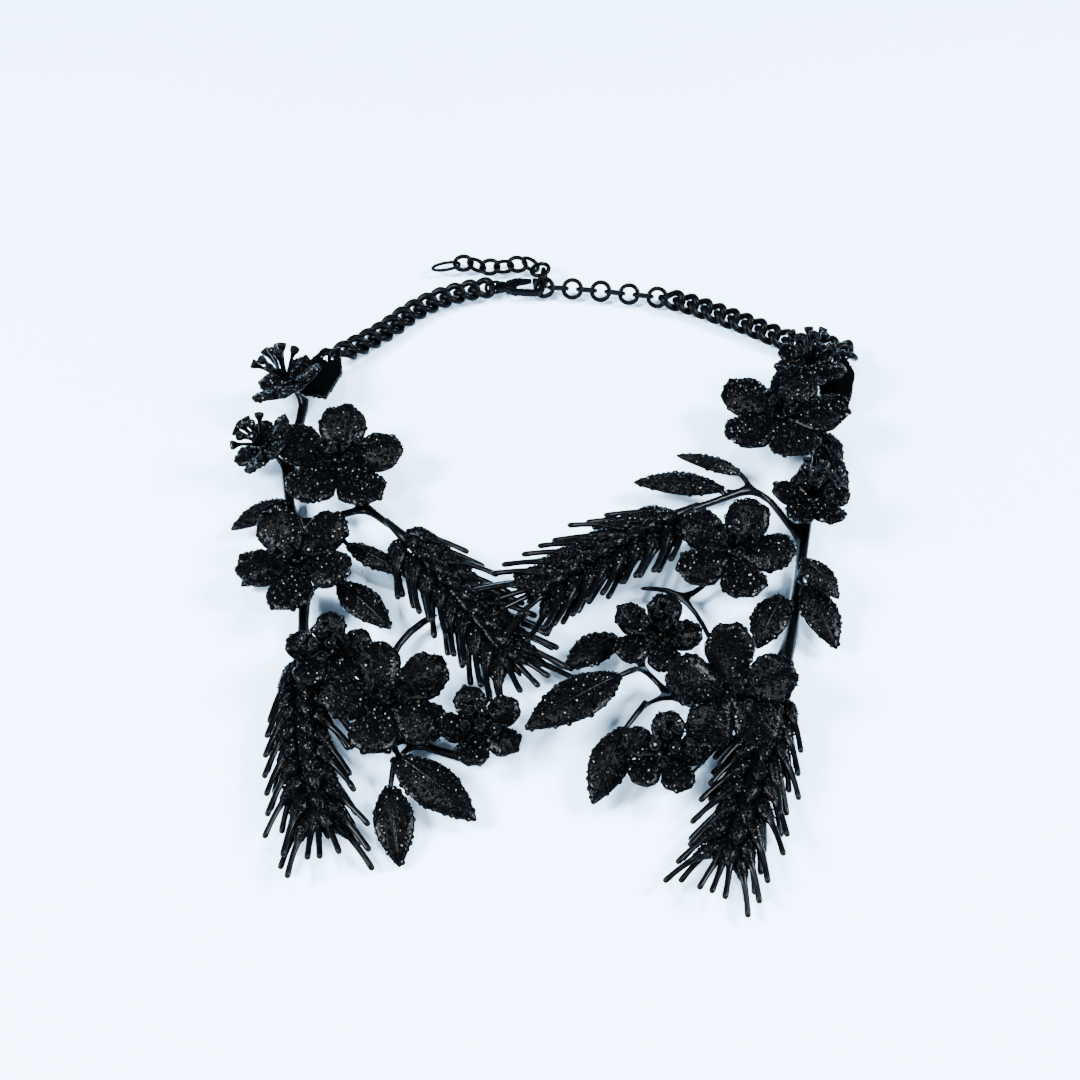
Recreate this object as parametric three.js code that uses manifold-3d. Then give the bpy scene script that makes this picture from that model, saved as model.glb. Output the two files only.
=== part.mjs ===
// Floral bib necklace: two mirrored halves of flowers, leaves and wheat ears on forked stems,
// joined where the inner ears cross, with a curb chain, a lobster clasp and an extender.
// Millimetres. +Z up from the table it lies on, +Y towards the clasp, +X to the right.
import * as THREE from "three";
import { mergeVertices } from "three/addons/utils/BufferGeometryUtils.js";
import Module from "manifold-3d";

const wasm = await Module();
wasm.setup();

// Driving sizes of the whole necklace
const BIB_WIDTH = 200;
const BIB_LENGTH = 190;
const BIB_HEIGHT = 30;
const CLEARANCE = 0.3;

// Flowers
const LARGE_REACH = 18.5;
const SMALL_REACH = 12.4;
const PETAL_THICKNESS = 1.3;
const PETALS = 5;
const HUB_HEIGHT = 2.4;
const STAMEN_LENGTH = 11;
const STAMEN_WIRE = 1.3;
const STAMEN_BEAD = 3.1;
const STAMEN_DISC = 3.6;
const STAMEN_DISC_HEIGHT = 1;
const SMALL_STAMENS = 6;
const LARGE_STAMENS = 4;

// Leaves, ears of wheat and stems
const LEAF_WIDTH = 12;
const LEAF_THICKNESS = 1.4;
const LEAF_ARCH = 2.2;
const LEAF_FOLD = 1.3;
const EAR_LENGTH = 60;
const EAR_CORE = 8;
const POD_GIRTH = 5.8;
const AWN_WIRE = 1.6;
const SPIKELET_LENGTH = 21;
const TRUNK_WIRE = 4.2;
const BRANCH_WIRE = 3.2;
const STALK_WIRE = 2.2;
const SHORT_STALK = 9;

// End plates
const PLATE_WIDTH = 12.5;
const PLATE_THICKNESS = 1.8;
const PLATE_EYE = 4.4;

// Chain, extender and clasp
const LEFT_CURB_LINKS = 12;
const RIGHT_CURB_LINKS = 14;
const CURB_WIDTH = 9.4;
const CURB_WIRE = 2.6;
const RING_PITCH = 5;
const RING_WIRE = 1.6;
const JUMP_RING = 6.8;
const JUMP_WIRE = 1.3;
const LINK_BITE = 0.35;
const LINK_SIDES = 5;
const LINK_STEPS = 10;
const EXTENDER_RINGS = 9;
const TAIL_RINGS = 8;
const CLASP_LENGTH = 17.5;
const CLASP_WIDTH = 7.8;
const CLASP_THICKNESS = 2;
const CLASP_WALL = 1.8;
const CLASP_EYE = 2.4;
const CLASP_EYE_WALL = 0.9;
const CLASP_BLOCK_LENGTH = 3.6;
const CLASP_BLOCK_INSET = 0.7;
const CLASP_CHEEK = 0.85;
const CLASP_MOUTH_INSET = 0.6;
const LEVER_THICKNESS = 1.2;
const LEVER_WIDTH = 1.4;
const LEVER_PIN = 1.1;
const LEVER_PIN_INSET = 1.7;
const CHARM_LENGTH = 11;
const CHARM_WIDTH = 6;
const CHARM_WIRE = 1.2;

// Finishes, as seen in daylight
const PAVE = { name: "pave_black", color: 0x16171a, roughness: 0.42, metalness: 0.6 };
const SMOOTH = { name: "smooth_black", color: 0x0d0e10, roughness: 0.3, metalness: 0.7 };
const BEAD = { name: "bead_black", color: 0x121316, roughness: 0.2, metalness: 0.5 };
const CHAIN = { name: "chain_black", color: 0x1a1b1d, roughness: 0.28, metalness: 0.8 };
const PLATE = { name: "plate_black", color: 0x08090a, roughness: 0.15, metalness: 0.3 };

const UP = new THREE.Vector3(0, 0, 1);
const FINE = 1e-4;
const SEAM = 0.15;

// A place in the bib: shares of its width, of its length from the neck line, and of its height
const NECK_LINE = 62;
function place(x, y, z) {
  return new THREE.Vector3(x * BIB_WIDTH, NECK_LINE + y * BIB_LENGTH, z * BIB_HEIGHT);
}

// Flowers: hub place, lean of the axis from upright (x, y), turn of the first petal, share of the
// reach that its kind has, stamen length
const FLOWERS = [
  { name: "left_top", kind: "small", size: 1, x: -0.405, y: -0.036, z: 0.35, leanX: -0.42, leanY: 0.3, turn: 0, stamen: 1.1 },
  { name: "left_side", kind: "small", size: 1, x: -0.425, y: -0.178, z: 0.34, leanX: -0.75, leanY: 0.05, turn: 36, stamen: 0.9 },
  { name: "left_collar", kind: "large", size: 1.12, x: -0.315, y: -0.21, z: 0.34, leanX: 0.08, leanY: -0.1, turn: 17, stamen: 0.8 },
  { name: "left_shoulder", kind: "large", size: 1, x: -0.358, y: -0.42, z: 0.33, leanX: -0.12, leanY: -0.1, turn: 48, stamen: 0.8 },
  { name: "left_inner", kind: "small", size: 1, x: -0.298, y: -0.61, z: 0.42, leanX: -0.05, leanY: -0.1, turn: 90, stamen: 0.8 },
  { name: "left_heart", kind: "large", size: 1, x: -0.212, y: -0.681, z: 0.3, leanX: 0.08, leanY: -0.12, turn: 37, stamen: 0.7 },
  { name: "left_low", kind: "small", size: 1, x: -0.083, y: -0.726, z: 0.27, leanX: 0.08, leanY: -0.12, turn: 40, stamen: 0.8 },
  { name: "right_top", kind: "small", size: 1, x: 0.44, y: 0.0, z: 0.38, leanX: 0.0, leanY: 0.15, turn: 54, stamen: 1.1 },
  { name: "right_collar", kind: "large", size: 1.14, x: 0.387, y: -0.114, z: 0.36, leanX: -0.1, leanY: 0, turn: -5, stamen: 0.8 },
  { name: "right_side", kind: "small", size: 1, x: 0.415, y: -0.303, z: 0.36, leanX: 0.05, leanY: 0.05, turn: 18, stamen: 1.1 },
  { name: "right_shoulder", kind: "large", size: 1, x: 0.289, y: -0.403, z: 0.33, leanX: -0.08, leanY: -0.1, turn: -7, stamen: 0.9 },
  { name: "right_inner", kind: "small", size: 1, x: 0.165, y: -0.57, z: 0.33, leanX: 0, leanY: -0.1, turn: 70, stamen: 0.9 },
  { name: "right_heart", kind: "large", size: 1, x: 0.265, y: -0.676, z: 0.42, leanX: 0.04, leanY: -0.5, turn: 20, stamen: 0.7 },
  { name: "right_low", kind: "small", size: 1, x: 0.168, y: -0.775, z: 0.3, leanX: 0, leanY: -0.12, turn: 80, stamen: 0.9 },
];

// Leaves: base and tip places, and share of the leaves' width
const LEAVES = [
  { name: "left_outer", x0: -0.391, y0: -0.27, z0: 0.2, x1: -0.476, y1: -0.327, z1: 0.16, width: 0.79 },
  { name: "left_tuck", x0: -0.405, y0: -0.405, z0: 0.12, x1: -0.449, y1: -0.436, z1: 0.1, width: 0.58 },
  { name: "left_neck", x0: -0.296, y0: -0.362, z0: 0.2, x1: -0.206, y1: -0.427, z1: 0.2, width: 0.67 },
  { name: "left_fan", x0: -0.302, y0: -0.44, z0: 0.2, x1: -0.217, y1: -0.533, z1: 0.2, width: 1 },
  { name: "left_drop", x0: -0.205, y0: -0.807, z0: 0.2, x1: -0.185, y1: -0.93, z1: 0.06, width: 1.04 },
  { name: "left_spread", x0: -0.2, y0: -0.767, z0: 0.26, x1: -0.084, y1: -0.865, z1: 0.16, width: 1.25 },
  { name: "right_outer", x0: 0.445, y0: -0.16, z0: 0.33, x1: 0.476, y1: -0.276, z1: 0.22, width: 0.83 },
  { name: "right_tuck", x0: 0.447, y0: -0.118, z0: 0.24, x1: 0.479, y1: -0.19, z1: 0.2, width: 0.75 },
  { name: "right_neck", x0: 0.322, y0: -0.215, z0: 0.22, x1: 0.214, y1: -0.191, z1: 0.36, width: 0.58 },
  { name: "right_lapel", x0: 0.289, y0: -0.244, z0: 0.22, x1: 0.145, y1: -0.237, z1: 0.26, width: 0.92 },
  { name: "right_wing", x0: 0.388, y0: -0.42, z0: 0.42, x1: 0.438, y1: -0.49, z1: 0.33, width: 0.83 },
  { name: "right_fan", x0: 0.395, y0: -0.45, z0: 0.26, x1: 0.43, y1: -0.567, z1: 0.16, width: 1.04 },
  { name: "right_oval", x0: 0.355, y0: -0.476, z0: 0.3, x1: 0.312, y1: -0.575, z1: 0.24, width: 1.04 },
  { name: "right_bough", x0: 0.112, y0: -0.545, z0: 0.22, x1: 0.035, y1: -0.61, z1: 0.22, width: 1 },
  { name: "right_spread", x0: 0.115, y0: -0.634, z0: 0.36, x1: -0.022, y1: -0.737, z1: 0.4, width: 1.33 },
  { name: "right_drop", x0: 0.118, y0: -0.723, z0: 0.34, x1: 0.07, y1: -0.839, z1: 0.16, width: 1.08 },
];

// Ears of wheat: base and tip places, sideways bow as a share of the length, pairs of side spikelets
const EARS = [
  { name: "left_inner", x0: -0.215, y0: -0.35, z0: 0.3, x1: -0.026, y1: -0.632, z1: 0.3, bow: 0.03, pairs: 9 },
  { name: "left_outer", x0: -0.34, y0: -0.585, z0: 0.25, x1: -0.279, y1: -0.9, z1: 0.22, bow: -0.05, pairs: 9 },
  { name: "right_inner", x0: 0.219, y0: -0.307, z0: 0.3, x1: -0.02, y1: -0.53, z1: 0.6, bow: -0.03, pairs: 9 },
  { name: "right_outer", x0: 0.335, y0: -0.66, z0: 0.28, x1: 0.231, y1: -0.952, z1: 0.2, bow: 0.02, pairs: 8 },
];

// Stems, soldered into one piece on each side. A row is one wire through its places.
const STEMS = {
  left: [
    { name: "trunk", wire: TRUNK_WIRE, steps: 9, places: [[-0.385, -0.03, 0.14], [-0.402, -0.2, 0.13],
      [-0.384, -0.3, 0.13], [-0.352, -0.46, 0.13], [-0.348, -0.52, 0.13], [-0.343, -0.572, 0.22]] },
    { name: "yoke", wire: BRANCH_WIRE, steps: 6, places: [[-0.402, -0.2, 0.13], [-0.33, -0.215, 0.13],
      [-0.27, -0.275, 0.15], [-0.24, -0.317, 0.23], [-0.22, -0.343, 0.29]] },
    { name: "arm", wire: STALK_WIRE, steps: 2, places: [[-0.384, -0.31, 0.13], [-0.27, -0.28, 0.15]] },
    { name: "bough", wire: BRANCH_WIRE, steps: 6, places: [[-0.344, -0.53, 0.13], [-0.28, -0.66, 0.13],
      [-0.212, -0.71, 0.12], [-0.09, -0.765, 0.12]] },
    { name: "strut", wire: BRANCH_WIRE, steps: 4, places: [[-0.23, -0.7, 0.13], [-0.222, -0.6, 0.14],
      [-0.2, -0.535, 0.14], [-0.15, -0.49, 0.12]] },
  ],
  right: [
    { name: "trunk", wire: TRUNK_WIRE, steps: 9, places: [[0.455, 0.005, 0.14], [0.44, -0.18, 0.13],
      [0.408, -0.33, 0.13], [0.38, -0.48, 0.13], [0.362, -0.56, 0.14], [0.344, -0.645, 0.26]] },
    { name: "yoke", wire: BRANCH_WIRE, steps: 6, places: [[0.405, -0.34, 0.13], [0.378, -0.3, 0.13],
      [0.347, -0.235, 0.15], [0.29, -0.262, 0.2], [0.216, -0.31, 0.3]] },
    { name: "bough", wire: BRANCH_WIRE, steps: 5, places: [[0.365, -0.55, 0.13], [0.275, -0.695, 0.13],
      [0.18, -0.81, 0.12]] },
    { name: "arc", wire: STALK_WIRE, steps: 7, places: [[0.275, -0.695, 0.13], [0.255, -0.57, 0.14],
      [0.228, -0.489, 0.16], [0.19, -0.449, 0.18], [0.145, -0.453, 0.2]] },
    { name: "twig", wire: STALK_WIRE, steps: 4, places: [[0.275, -0.695, 0.13], [0.2, -0.66, 0.13],
      [0.15, -0.6, 0.13], [0.128, -0.565, 0.14]] },
  ],
};

// End plates: place of the eye's centre and of the far corner where the trunk meets the plate
const PLATES = [
  { name: "left", eyeX: -0.352, eyeY: 0.052, eyeZ: 0.3, footX: -0.372, footY: -0.035, footZ: 0.26 },
  { name: "right", eyeX: 0.492, eyeY: 0.044, eyeZ: 0.3, footX: 0.486, footY: -0.044, footZ: 0.26 },
];

// Route of the chain from the left plate's eye to the right one's, and of its loose tail
const CHAIN_ROUTE = [
  [-0.352, 0.052, 0.3], [-0.323, 0.091, 0.19], [-0.264, 0.153, 0.13], [-0.221, 0.202, 0.13],
  [-0.171, 0.24, 0.13], [-0.1, 0.266, 0.13], [0.015, 0.266, 0.14], [0.15, 0.249, 0.14],
  [0.246, 0.229, 0.13], [0.349, 0.173, 0.13], [0.44, 0.118, 0.13], [0.492, 0.106, 0.15], [0.517, 0.085, 0.2],
  [0.492, 0.044, 0.3],
];
const TAIL_ROUTE = [
  [0.006, 0.301, 0.17], [-0.023, 0.334, 0.14], [-0.063, 0.325, 0.14], [-0.1, 0.327, 0.13], [-0.132, 0.339, 0.12],
  [-0.174, 0.33, 0.11], [-0.24, 0.323, 0.09],
];
const CLASP_AT = 0.352;
const JOINT_PLACES = [[-0.06, -0.575, 0.32], [-0.022, -0.53, 0.46]];
const TAIL_ROLL_EVEN = THREE.MathUtils.degToRad(80);
const TAIL_ROLL_ODD = THREE.MathUtils.degToRad(-10);
const CHARM_ROLL = THREE.MathUtils.degToRad(10);

// Solids from geometries

function solidOf(geometry) {
  const bare = geometry.clone();
  bare.deleteAttribute("normal");
  bare.deleteAttribute("uv");
  const merged = mergeVertices(bare, FINE);
  const index = merged.index.array;
  const corners = [];
  for (let i = 0; i < index.length; i += 3) {
    const [a, b, c] = [index[i], index[i + 1], index[i + 2]];
    if (a !== b && b !== c && c !== a) corners.push(a, b, c);
  }
  const mesh = new wasm.Mesh({
    numProp: 3,
    vertProperties: new Float32Array(merged.attributes.position.array),
    triVerts: new Uint32Array(corners),
  });
  return new wasm.Manifold(mesh);
}

function geometryOf(solid) {
  const mesh = solid.getMesh();
  const geometry = new THREE.BufferGeometry();
  geometry.setAttribute("position", new THREE.BufferAttribute(new Float32Array(mesh.vertProperties), 3));
  geometry.setIndex(new THREE.BufferAttribute(new Uint32Array(mesh.triVerts), 1));
  geometry.computeVertexNormals();
  return geometry;
}

function fuse(solids) {
  return solids.reduce((whole, next) => whole.add(next)).simplify(SEAM);
}

function largest(solid) {
  const parts = solid.decompose();
  return parts.reduce((best, next) => (next.volume() > best.volume() ? next : best));
}

// A solid with every face moved outwards, to cut clearance round it
function swollen(solid, by) {
  const geometry = geometryOf(solid);
  const position = geometry.attributes.position;
  const normal = geometry.attributes.normal;
  const point = new THREE.Vector3();
  const out = new THREE.Vector3();
  for (let i = 0; i < position.count; i++) {
    point.fromBufferAttribute(position, i);
    out.fromBufferAttribute(normal, i);
    point.addScaledVector(out, by);
    position.setXYZ(i, point.x, point.y, point.z);
  }
  return solidOf(geometry);
}

// A thin curved blade: mid(u, v) is its middle surface, u along 0 to 1, v across -1 to 1
function blade(mid, along, across, thickness) {
  const box = new THREE.BoxGeometry(1, 1, 1, along, across, 1);
  const position = box.attributes.position;
  const step = 0.01;
  for (let i = 0; i < position.count; i++) {
    const u = position.getX(i) + 0.5;
    const v = position.getY(i) * 2;
    const alongSlope = mid(u + step, v).sub(mid(u - step, v));
    const acrossSlope = mid(u, v + step).sub(mid(u, v - step));
    const facing = alongSlope.cross(acrossSlope).normalize();
    const point = mid(u, v).addScaledVector(facing, position.getZ(i) * thickness);
    position.setXYZ(i, point.x, point.y, point.z);
  }
  return box;
}

// A tapering rod along path(u); girths has rows of along and radius, and flat squashes its height
function rod(path, girths, sides, flat = 1) {
  const tube = new THREE.CylinderGeometry(1, 1, 1, sides, girths.length - 1);
  const position = tube.attributes.position;
  const step = 0.01;
  for (let i = 0; i < position.count; i++) {
    const row = girths[Math.round((position.getY(i) + 0.5) * (girths.length - 1))];
    const tangent = path(row.along + step).sub(path(row.along - step)).normalize();
    const side = new THREE.Vector3().crossVectors(UP, tangent);
    if (side.length() < FINE) side.set(0, 1, 0);
    side.normalize();
    const over = new THREE.Vector3().crossVectors(tangent, side);
    const point = path(row.along);
    point.addScaledVector(side, position.getZ(i) * row.radius);
    point.addScaledVector(over, position.getX(i) * row.radius * flat);
    position.setXYZ(i, point.x, point.y, point.z);
  }
  return tube;
}

// A round wire along a curve, with flat ends
function wire(curve, diameter, steps, sides) {
  const section = new THREE.Shape();
  for (let i = 0; i < sides; i++) {
    const angle = (2 * Math.PI * i) / sides;
    const [x, y] = [(Math.cos(angle) * diameter) / 2, (Math.sin(angle) * diameter) / 2];
    if (i === 0) section.moveTo(x, y);
    else section.lineTo(x, y);
  }
  return new THREE.ExtrudeGeometry(section, { extrudePath: curve, steps });
}

// Frames: a seat point, the local Z axis and a turn about it

function frameOn(point, axis, turnDegrees) {
  const group = new THREE.Object3D();
  group.position.copy(point);
  group.quaternion.setFromUnitVectors(UP, axis);
  group.quaternion.multiply(new THREE.Quaternion().setFromAxisAngle(UP, THREE.MathUtils.degToRad(turnDegrees)));
  group.updateMatrixWorld();
  return group;
}

function frameAlong(start, end) {
  const forward = end.clone().sub(start).normalize();
  const side = new THREE.Vector3().crossVectors(UP, forward).normalize();
  const over = new THREE.Vector3().crossVectors(forward, side);
  const group = new THREE.Object3D();
  group.position.copy(start);
  group.quaternion.setFromRotationMatrix(new THREE.Matrix4().makeBasis(forward, side, over));
  group.updateMatrixWorld();
  return group;
}

// A whorl of petals in one piece: each petal is a round pad, domed a little over its middle.
// Rows cross one petal, from the notch before it.
const PETAL_ROWS = [
  { turn: -36, reach: 0.42, across: 1 },
  { turn: -29, reach: 0.78, across: 0.8 },
  { turn: -13, reach: 1.01, across: 0.35 },
  { turn: 13, reach: 1.01, across: 0.35 },
  { turn: 29, reach: 0.78, across: 0.8 },
];
// Rings from the foot of the hub under the petals, round their rims, to the middle of the cup
const WHORL_RINGS = [
  { out: 0, side: "foot" },
  { out: 0.26, side: "foot" },
  { out: 0.62, side: "under" },
  { out: 1, side: "under" },
  { out: 1, side: "over" },
  { out: 0.62, side: "over" },
  { out: 0, side: "over" },
];
const PETAL_LIFT = 0.04;
const PETAL_CUP = 0.13;
const PETAL_DOME = 0.07;
const PETAL_DROOP = 0.04;

function whorl(kind, size) {
  const reach = size * (kind === "large" ? LARGE_REACH : SMALL_REACH);
  const columns = PETALS * PETAL_ROWS.length;
  const profile = WHORL_RINGS.map((ring, j) => new THREE.Vector2(ring.out, j));
  const surface = new THREE.LatheGeometry(profile, columns);
  const position = surface.attributes.position;
  for (let i = 0; i < position.count; i++) {
    const column = Math.floor(i / WHORL_RINGS.length) % columns;
    const ring = WHORL_RINGS[i % WHORL_RINGS.length];
    const row = PETAL_ROWS[column % PETAL_ROWS.length];
    const petal = Math.floor(column / PETAL_ROWS.length);
    const angle = (2 * Math.PI * petal) / PETALS + THREE.MathUtils.degToRad(row.turn);
    const out = ring.out * row.reach;
    const dome = PETAL_DOME * Math.sin(Math.PI * ring.out) * (1 - row.across ** 2);
    const droop = PETAL_DROOP * ring.out * row.across ** 2;
    let height = HUB_HEIGHT + reach * (PETAL_LIFT * out + PETAL_CUP * out ** 2 + dome - droop);
    if (ring.side === "under") height -= PETAL_THICKNESS;
    if (ring.side === "foot") height = 0;
    position.setXYZ(i, Math.cos(angle) * out * reach, Math.sin(angle) * out * reach, height);
  }
  return solidOf(surface);
}

function lathe(profile, sides) {
  const points = profile.map(([radius, height]) => new THREE.Vector2(radius, height));
  const geometry = new THREE.LatheGeometry(points, sides);
  geometry.rotateX(Math.PI / 2);
  return geometry;
}

// Stamens: a disc on the hub with splayed wires, each ending in a flat-topped bead
const STAMEN_SPLAY = THREE.MathUtils.degToRad(36);
const STAMEN_FOOT = 0.5;
const STAMEN_SEAT = 0.8;

function stamens(count, length) {
  const disc = STAMEN_DISC / 2;
  const top = STAMEN_DISC_HEIGHT;
  const solids = [solidOf(lathe([[0, 0], [disc, 0], [disc * 0.8, top], [0, top]], 6))];
  const girths = [
    { along: 0, radius: STAMEN_WIRE / 2 },
    { along: 1 - (0.8 * STAMEN_BEAD) / length, radius: STAMEN_WIRE / 2 },
    { along: 1, radius: STAMEN_BEAD / 2 },
  ];
  for (let i = 0; i < count; i++) {
    const round = (2 * Math.PI * i) / (count - 1);
    const splay = i === count - 1 ? 0.05 : STAMEN_SPLAY * (i % 2 ? 0.8 : 1);
    const lean = new THREE.Vector3(Math.cos(round) * Math.sin(splay), Math.sin(round) * Math.sin(splay),
      Math.cos(splay));
    const foot = new THREE.Vector3(lean.x, lean.y, 0).multiplyScalar(disc * STAMEN_FOOT);
    foot.z = top * 0.5;
    const path = (u) => foot.clone().addScaledVector(lean, u * length);
    solids.push(solidOf(rod(path, girths, 4)));
  }
  return fuse(solids);
}

// A leaf along +X from its base: arched, folded at the midrib, with a pointed tip
const LEAF_ROOT = 0.14;

function leaf(length, width) {
  function mid(u, v) {
    const swell = Math.sin(Math.PI * 0.97 * Math.max(u, 0) ** 0.85);
    const half = (width / 2) * (LEAF_ROOT + (1 - LEAF_ROOT) * swell) * (1 - 0.75 * u ** 8);
    const arch = LEAF_ARCH * Math.sin(Math.PI * u);
    return new THREE.Vector3(length * u, v * half, arch - LEAF_FOLD * Math.abs(v) * swell);
  }
  return solidOf(blade(mid, 4, 2, LEAF_THICKNESS));
}

// One spikelet: a pod that runs out into a long awn. Rows follow its length and the pod's girth.
const SPIKELET = [
  { along: 0.15, girth: 1 },
  { along: 0.55, awn: 1.1 },
  { along: 1, awn: 0.85 },
];
const EAR_FLAT = 0.65;
const EAR_SECTIONS = [
  { along: 0, girth: 0.4 },
  { along: 0.15, girth: 0.9 },
  { along: 0.6, girth: 1 },
  { along: 1, girth: 0.6 },
];
const SPIKELET_RANKS = [
  { name: "left", sideStart: 38, sideEnd: 20, rise: 2, offset: 0, out: 0.34, up: 0 },
  { name: "right", sideStart: -38, sideEnd: -20, rise: 2, offset: 0.5, out: -0.34, up: 0 },
  { name: "top", sideStart: 8, sideEnd: -8, rise: 20, offset: 0.25, out: 0, up: 0.15 },
];

function spikelet(start, rank, size) {
  const rise = THREE.MathUtils.degToRad(rank.rise);
  const heading = (degrees) => {
    const side = THREE.MathUtils.degToRad(degrees);
    return new THREE.Vector3(Math.cos(side) * Math.cos(rise), Math.sin(side) * Math.cos(rise), Math.sin(rise));
  };
  const first = heading(rank.sideStart);
  const last = heading(rank.sideEnd);
  const half = (size * SPIKELET_LENGTH) / 2;
  const bend = start.clone().addScaledVector(first, half);
  const end = bend.clone().addScaledVector(last, half);
  const curve = new THREE.QuadraticBezierCurve3(start, bend, end);
  const girths = SPIKELET.map((row) => ({
    along: row.along,
    radius: (size * (row.girth ? row.girth * POD_GIRTH : row.awn * AWN_WIRE)) / 2,
  }));
  const path = (u) => curve.getPoint(u);
  return solidOf(rod(path, girths, 4));
}

// The whole ear grows with its length, so that its spikelets stay as they are to one another
const EAR_FIRST = 0.02;
const EAR_SPAN = 0.9;

function ear(length, bow, pairs) {
  const size = length / EAR_LENGTH;
  const core = size * EAR_CORE;
  const spine = (u) => new THREE.Vector3(length * u, length * bow * Math.sin(Math.PI * u), 0);
  const girths = EAR_SECTIONS.map((row) => ({ along: row.along, radius: (row.girth * core) / 2 }));
  const solids = [solidOf(rod(spine, girths, 6, EAR_FLAT))];
  for (let i = 0; i < pairs; i++) {
    for (const rank of SPIKELET_RANKS) {
      const share = (i + rank.offset) / pairs;
      const start = spine(EAR_FIRST + share * EAR_SPAN);
      start.add(new THREE.Vector3(0, rank.out * core, rank.up * core));
      solids.push(spikelet(start, rank, size));
    }
  }
  return fuse(solids);
}

// Stems: routed wires, and a stalk from the nearest wire to each seat

function routeCurve(places) {
  return new THREE.CatmullRomCurve3(places.map(([x, y, z]) => place(x, y, z)));
}

function stalk(from, seat) {
  const reach = from.distanceTo(seat.point);
  const end = seat.point.clone().addScaledVector(seat.heading, -CLEARANCE);
  const control = end.clone().addScaledVector(seat.heading, -reach * 0.45);
  const steps = reach > SHORT_STALK ? 2 : 1;
  return wire(new THREE.QuadraticBezierCurve3(from, control, end), STALK_WIRE, steps, 4);
}

function stems(rows, seats) {
  const solids = [];
  const samples = [];
  for (const row of rows) {
    const curve = routeCurve(row.places);
    solids.push(solidOf(wire(curve, row.wire, row.steps, 5)));
    samples.push(...curve.getSpacedPoints(24));
  }
  for (const seat of seats) {
    const near = samples.reduce((best, next) =>
      (next.distanceTo(seat.point) < best.distanceTo(seat.point) ? next : best));
    solids.push(solidOf(stalk(near, seat)));
  }
  return fuse(solids);
}

// An end plate: a five-sided plate along +X from its foot to its eye
const PLATE_SHAPE = [
  { along: 0, across: -0.35 },
  { along: 0.55, across: -0.5 },
  { along: 1, across: -0.22 },
  { along: 1, across: 0.22 },
  { along: 0.62, across: 0.5 },
  { along: 0, across: 0.4 },
];

function endPlate(length) {
  const outline = new THREE.Shape();
  const margin = PLATE_EYE * 0.5 + 1.3;
  const reach = length + margin;
  PLATE_SHAPE.forEach((row, i) => {
    const [x, y] = [row.along * reach, row.across * PLATE_WIDTH];
    if (i === 0) outline.moveTo(x, y);
    else outline.lineTo(x, y);
  });
  const eye = new THREE.Path();
  eye.absarc(length, 0, PLATE_EYE / 2, 0, 2 * Math.PI, true);
  outline.holes.push(eye);
  const plate = new THREE.ExtrudeGeometry(outline, { depth: PLATE_THICKNESS, bevelEnabled: false, curveSegments: 5 });
  return solidOf(plate.translate(0, 0, -PLATE_THICKNESS / 2));
}

// Links: a ring whose middle line has a half length along X and a half width, rolled about X.
// twist turns the two ends apart, as on a curb link.
function link(half, halfWidth, diameter, roll, twist) {
  const torus = new THREE.TorusGeometry(10, diameter / 2, LINK_SIDES, LINK_STEPS);
  const position = torus.attributes.position;
  for (let i = 0; i < position.count; i++) {
    const [x, y, z] = [position.getX(i), position.getY(i), position.getZ(i)];
    const angle = Math.atan2(y, x);
    const out = Math.hypot(x, y) - 10;
    const [c, s] = [Math.cos(angle), Math.sin(angle)];
    const lean = roll + twist * c;
    const facing = new THREE.Vector2(halfWidth * c, half * s).normalize();
    const across = halfWidth * s + out * facing.y;
    position.setXYZ(i, half * c + out * facing.x, across * Math.cos(lean) - z * Math.sin(lean),
      across * Math.sin(lean) + z * Math.cos(lean));
  }
  return torus;
}

const HALF_RING = (RING_PITCH + RING_WIRE - LINK_BITE) / 2;
const HALF_JUMP = (JUMP_RING - JUMP_WIRE) / 2;
const ROLL = Math.PI / 4;

// The parts, cleared of one another in the order in which they are added

const necklace = new THREE.Group();
const finished = [];

function touching(a, b) {
  const [p, q] = [a.boundingBox(), b.boundingBox()];
  return [0, 1, 2].every((k) => p.min[k] - CLEARANCE < q.max[k] && q.min[k] - CLEARANCE < p.max[k]);
}

function addPart(name, finish, frame, localSolid, cleared = true) {
  let solid = localSolid.transform(frame.matrixWorld.elements);
  if (cleared) {
    for (const other of finished) {
      if (!touching(solid, other.solid)) continue;
      if (solid.minGap(other.solid, CLEARANCE) > CLEARANCE * 0.8) continue;
      other.swollen ??= swollen(other.solid, CLEARANCE * 1.4);
      solid = solid.subtract(other.swollen);
    }
    solid = largest(solid.simplify(SEAM));
  }
  finished.push({ name, solid });
  const inverse = frame.matrixWorld.clone().invert();
  const geometry = geometryOf(solid.transform(inverse.elements));
  const mesh = new THREE.Mesh(geometry, new THREE.MeshStandardMaterial(finish));
  mesh.name = name;
  mesh.position.copy(frame.position);
  mesh.quaternion.copy(frame.quaternion);
  necklace.add(mesh);
}

const HERE = new THREE.Object3D();

// Seats that the stems reach
const seats = [];
for (const row of FLOWERS) {
  const heading = new THREE.Vector3(row.leanX, row.leanY, 1).normalize();
  seats.push({ point: place(row.x, row.y, row.z), heading });
}
for (const row of LEAVES) {
  const base = place(row.x0, row.y0, row.z0);
  seats.push({ point: base, heading: place(row.x1, row.y1, row.z1).sub(base).normalize() });
}
for (const [side, sign] of [["left", -1], ["right", 1]]) {
  const own = seats.filter((seat) => Math.sign(seat.point.x) === sign);
  addPart(`stems_${side}`, SMOOTH, HERE, stems(STEMS[side], own));
}

for (const row of PLATES) {
  const foot = place(row.footX, row.footY, row.footZ);
  const eye = place(row.eyeX, row.eyeY, row.eyeZ);
  addPart(`end_plate_${row.name}`, PLATE, frameAlong(foot, eye), endPlate(foot.distanceTo(eye)));
}

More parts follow.
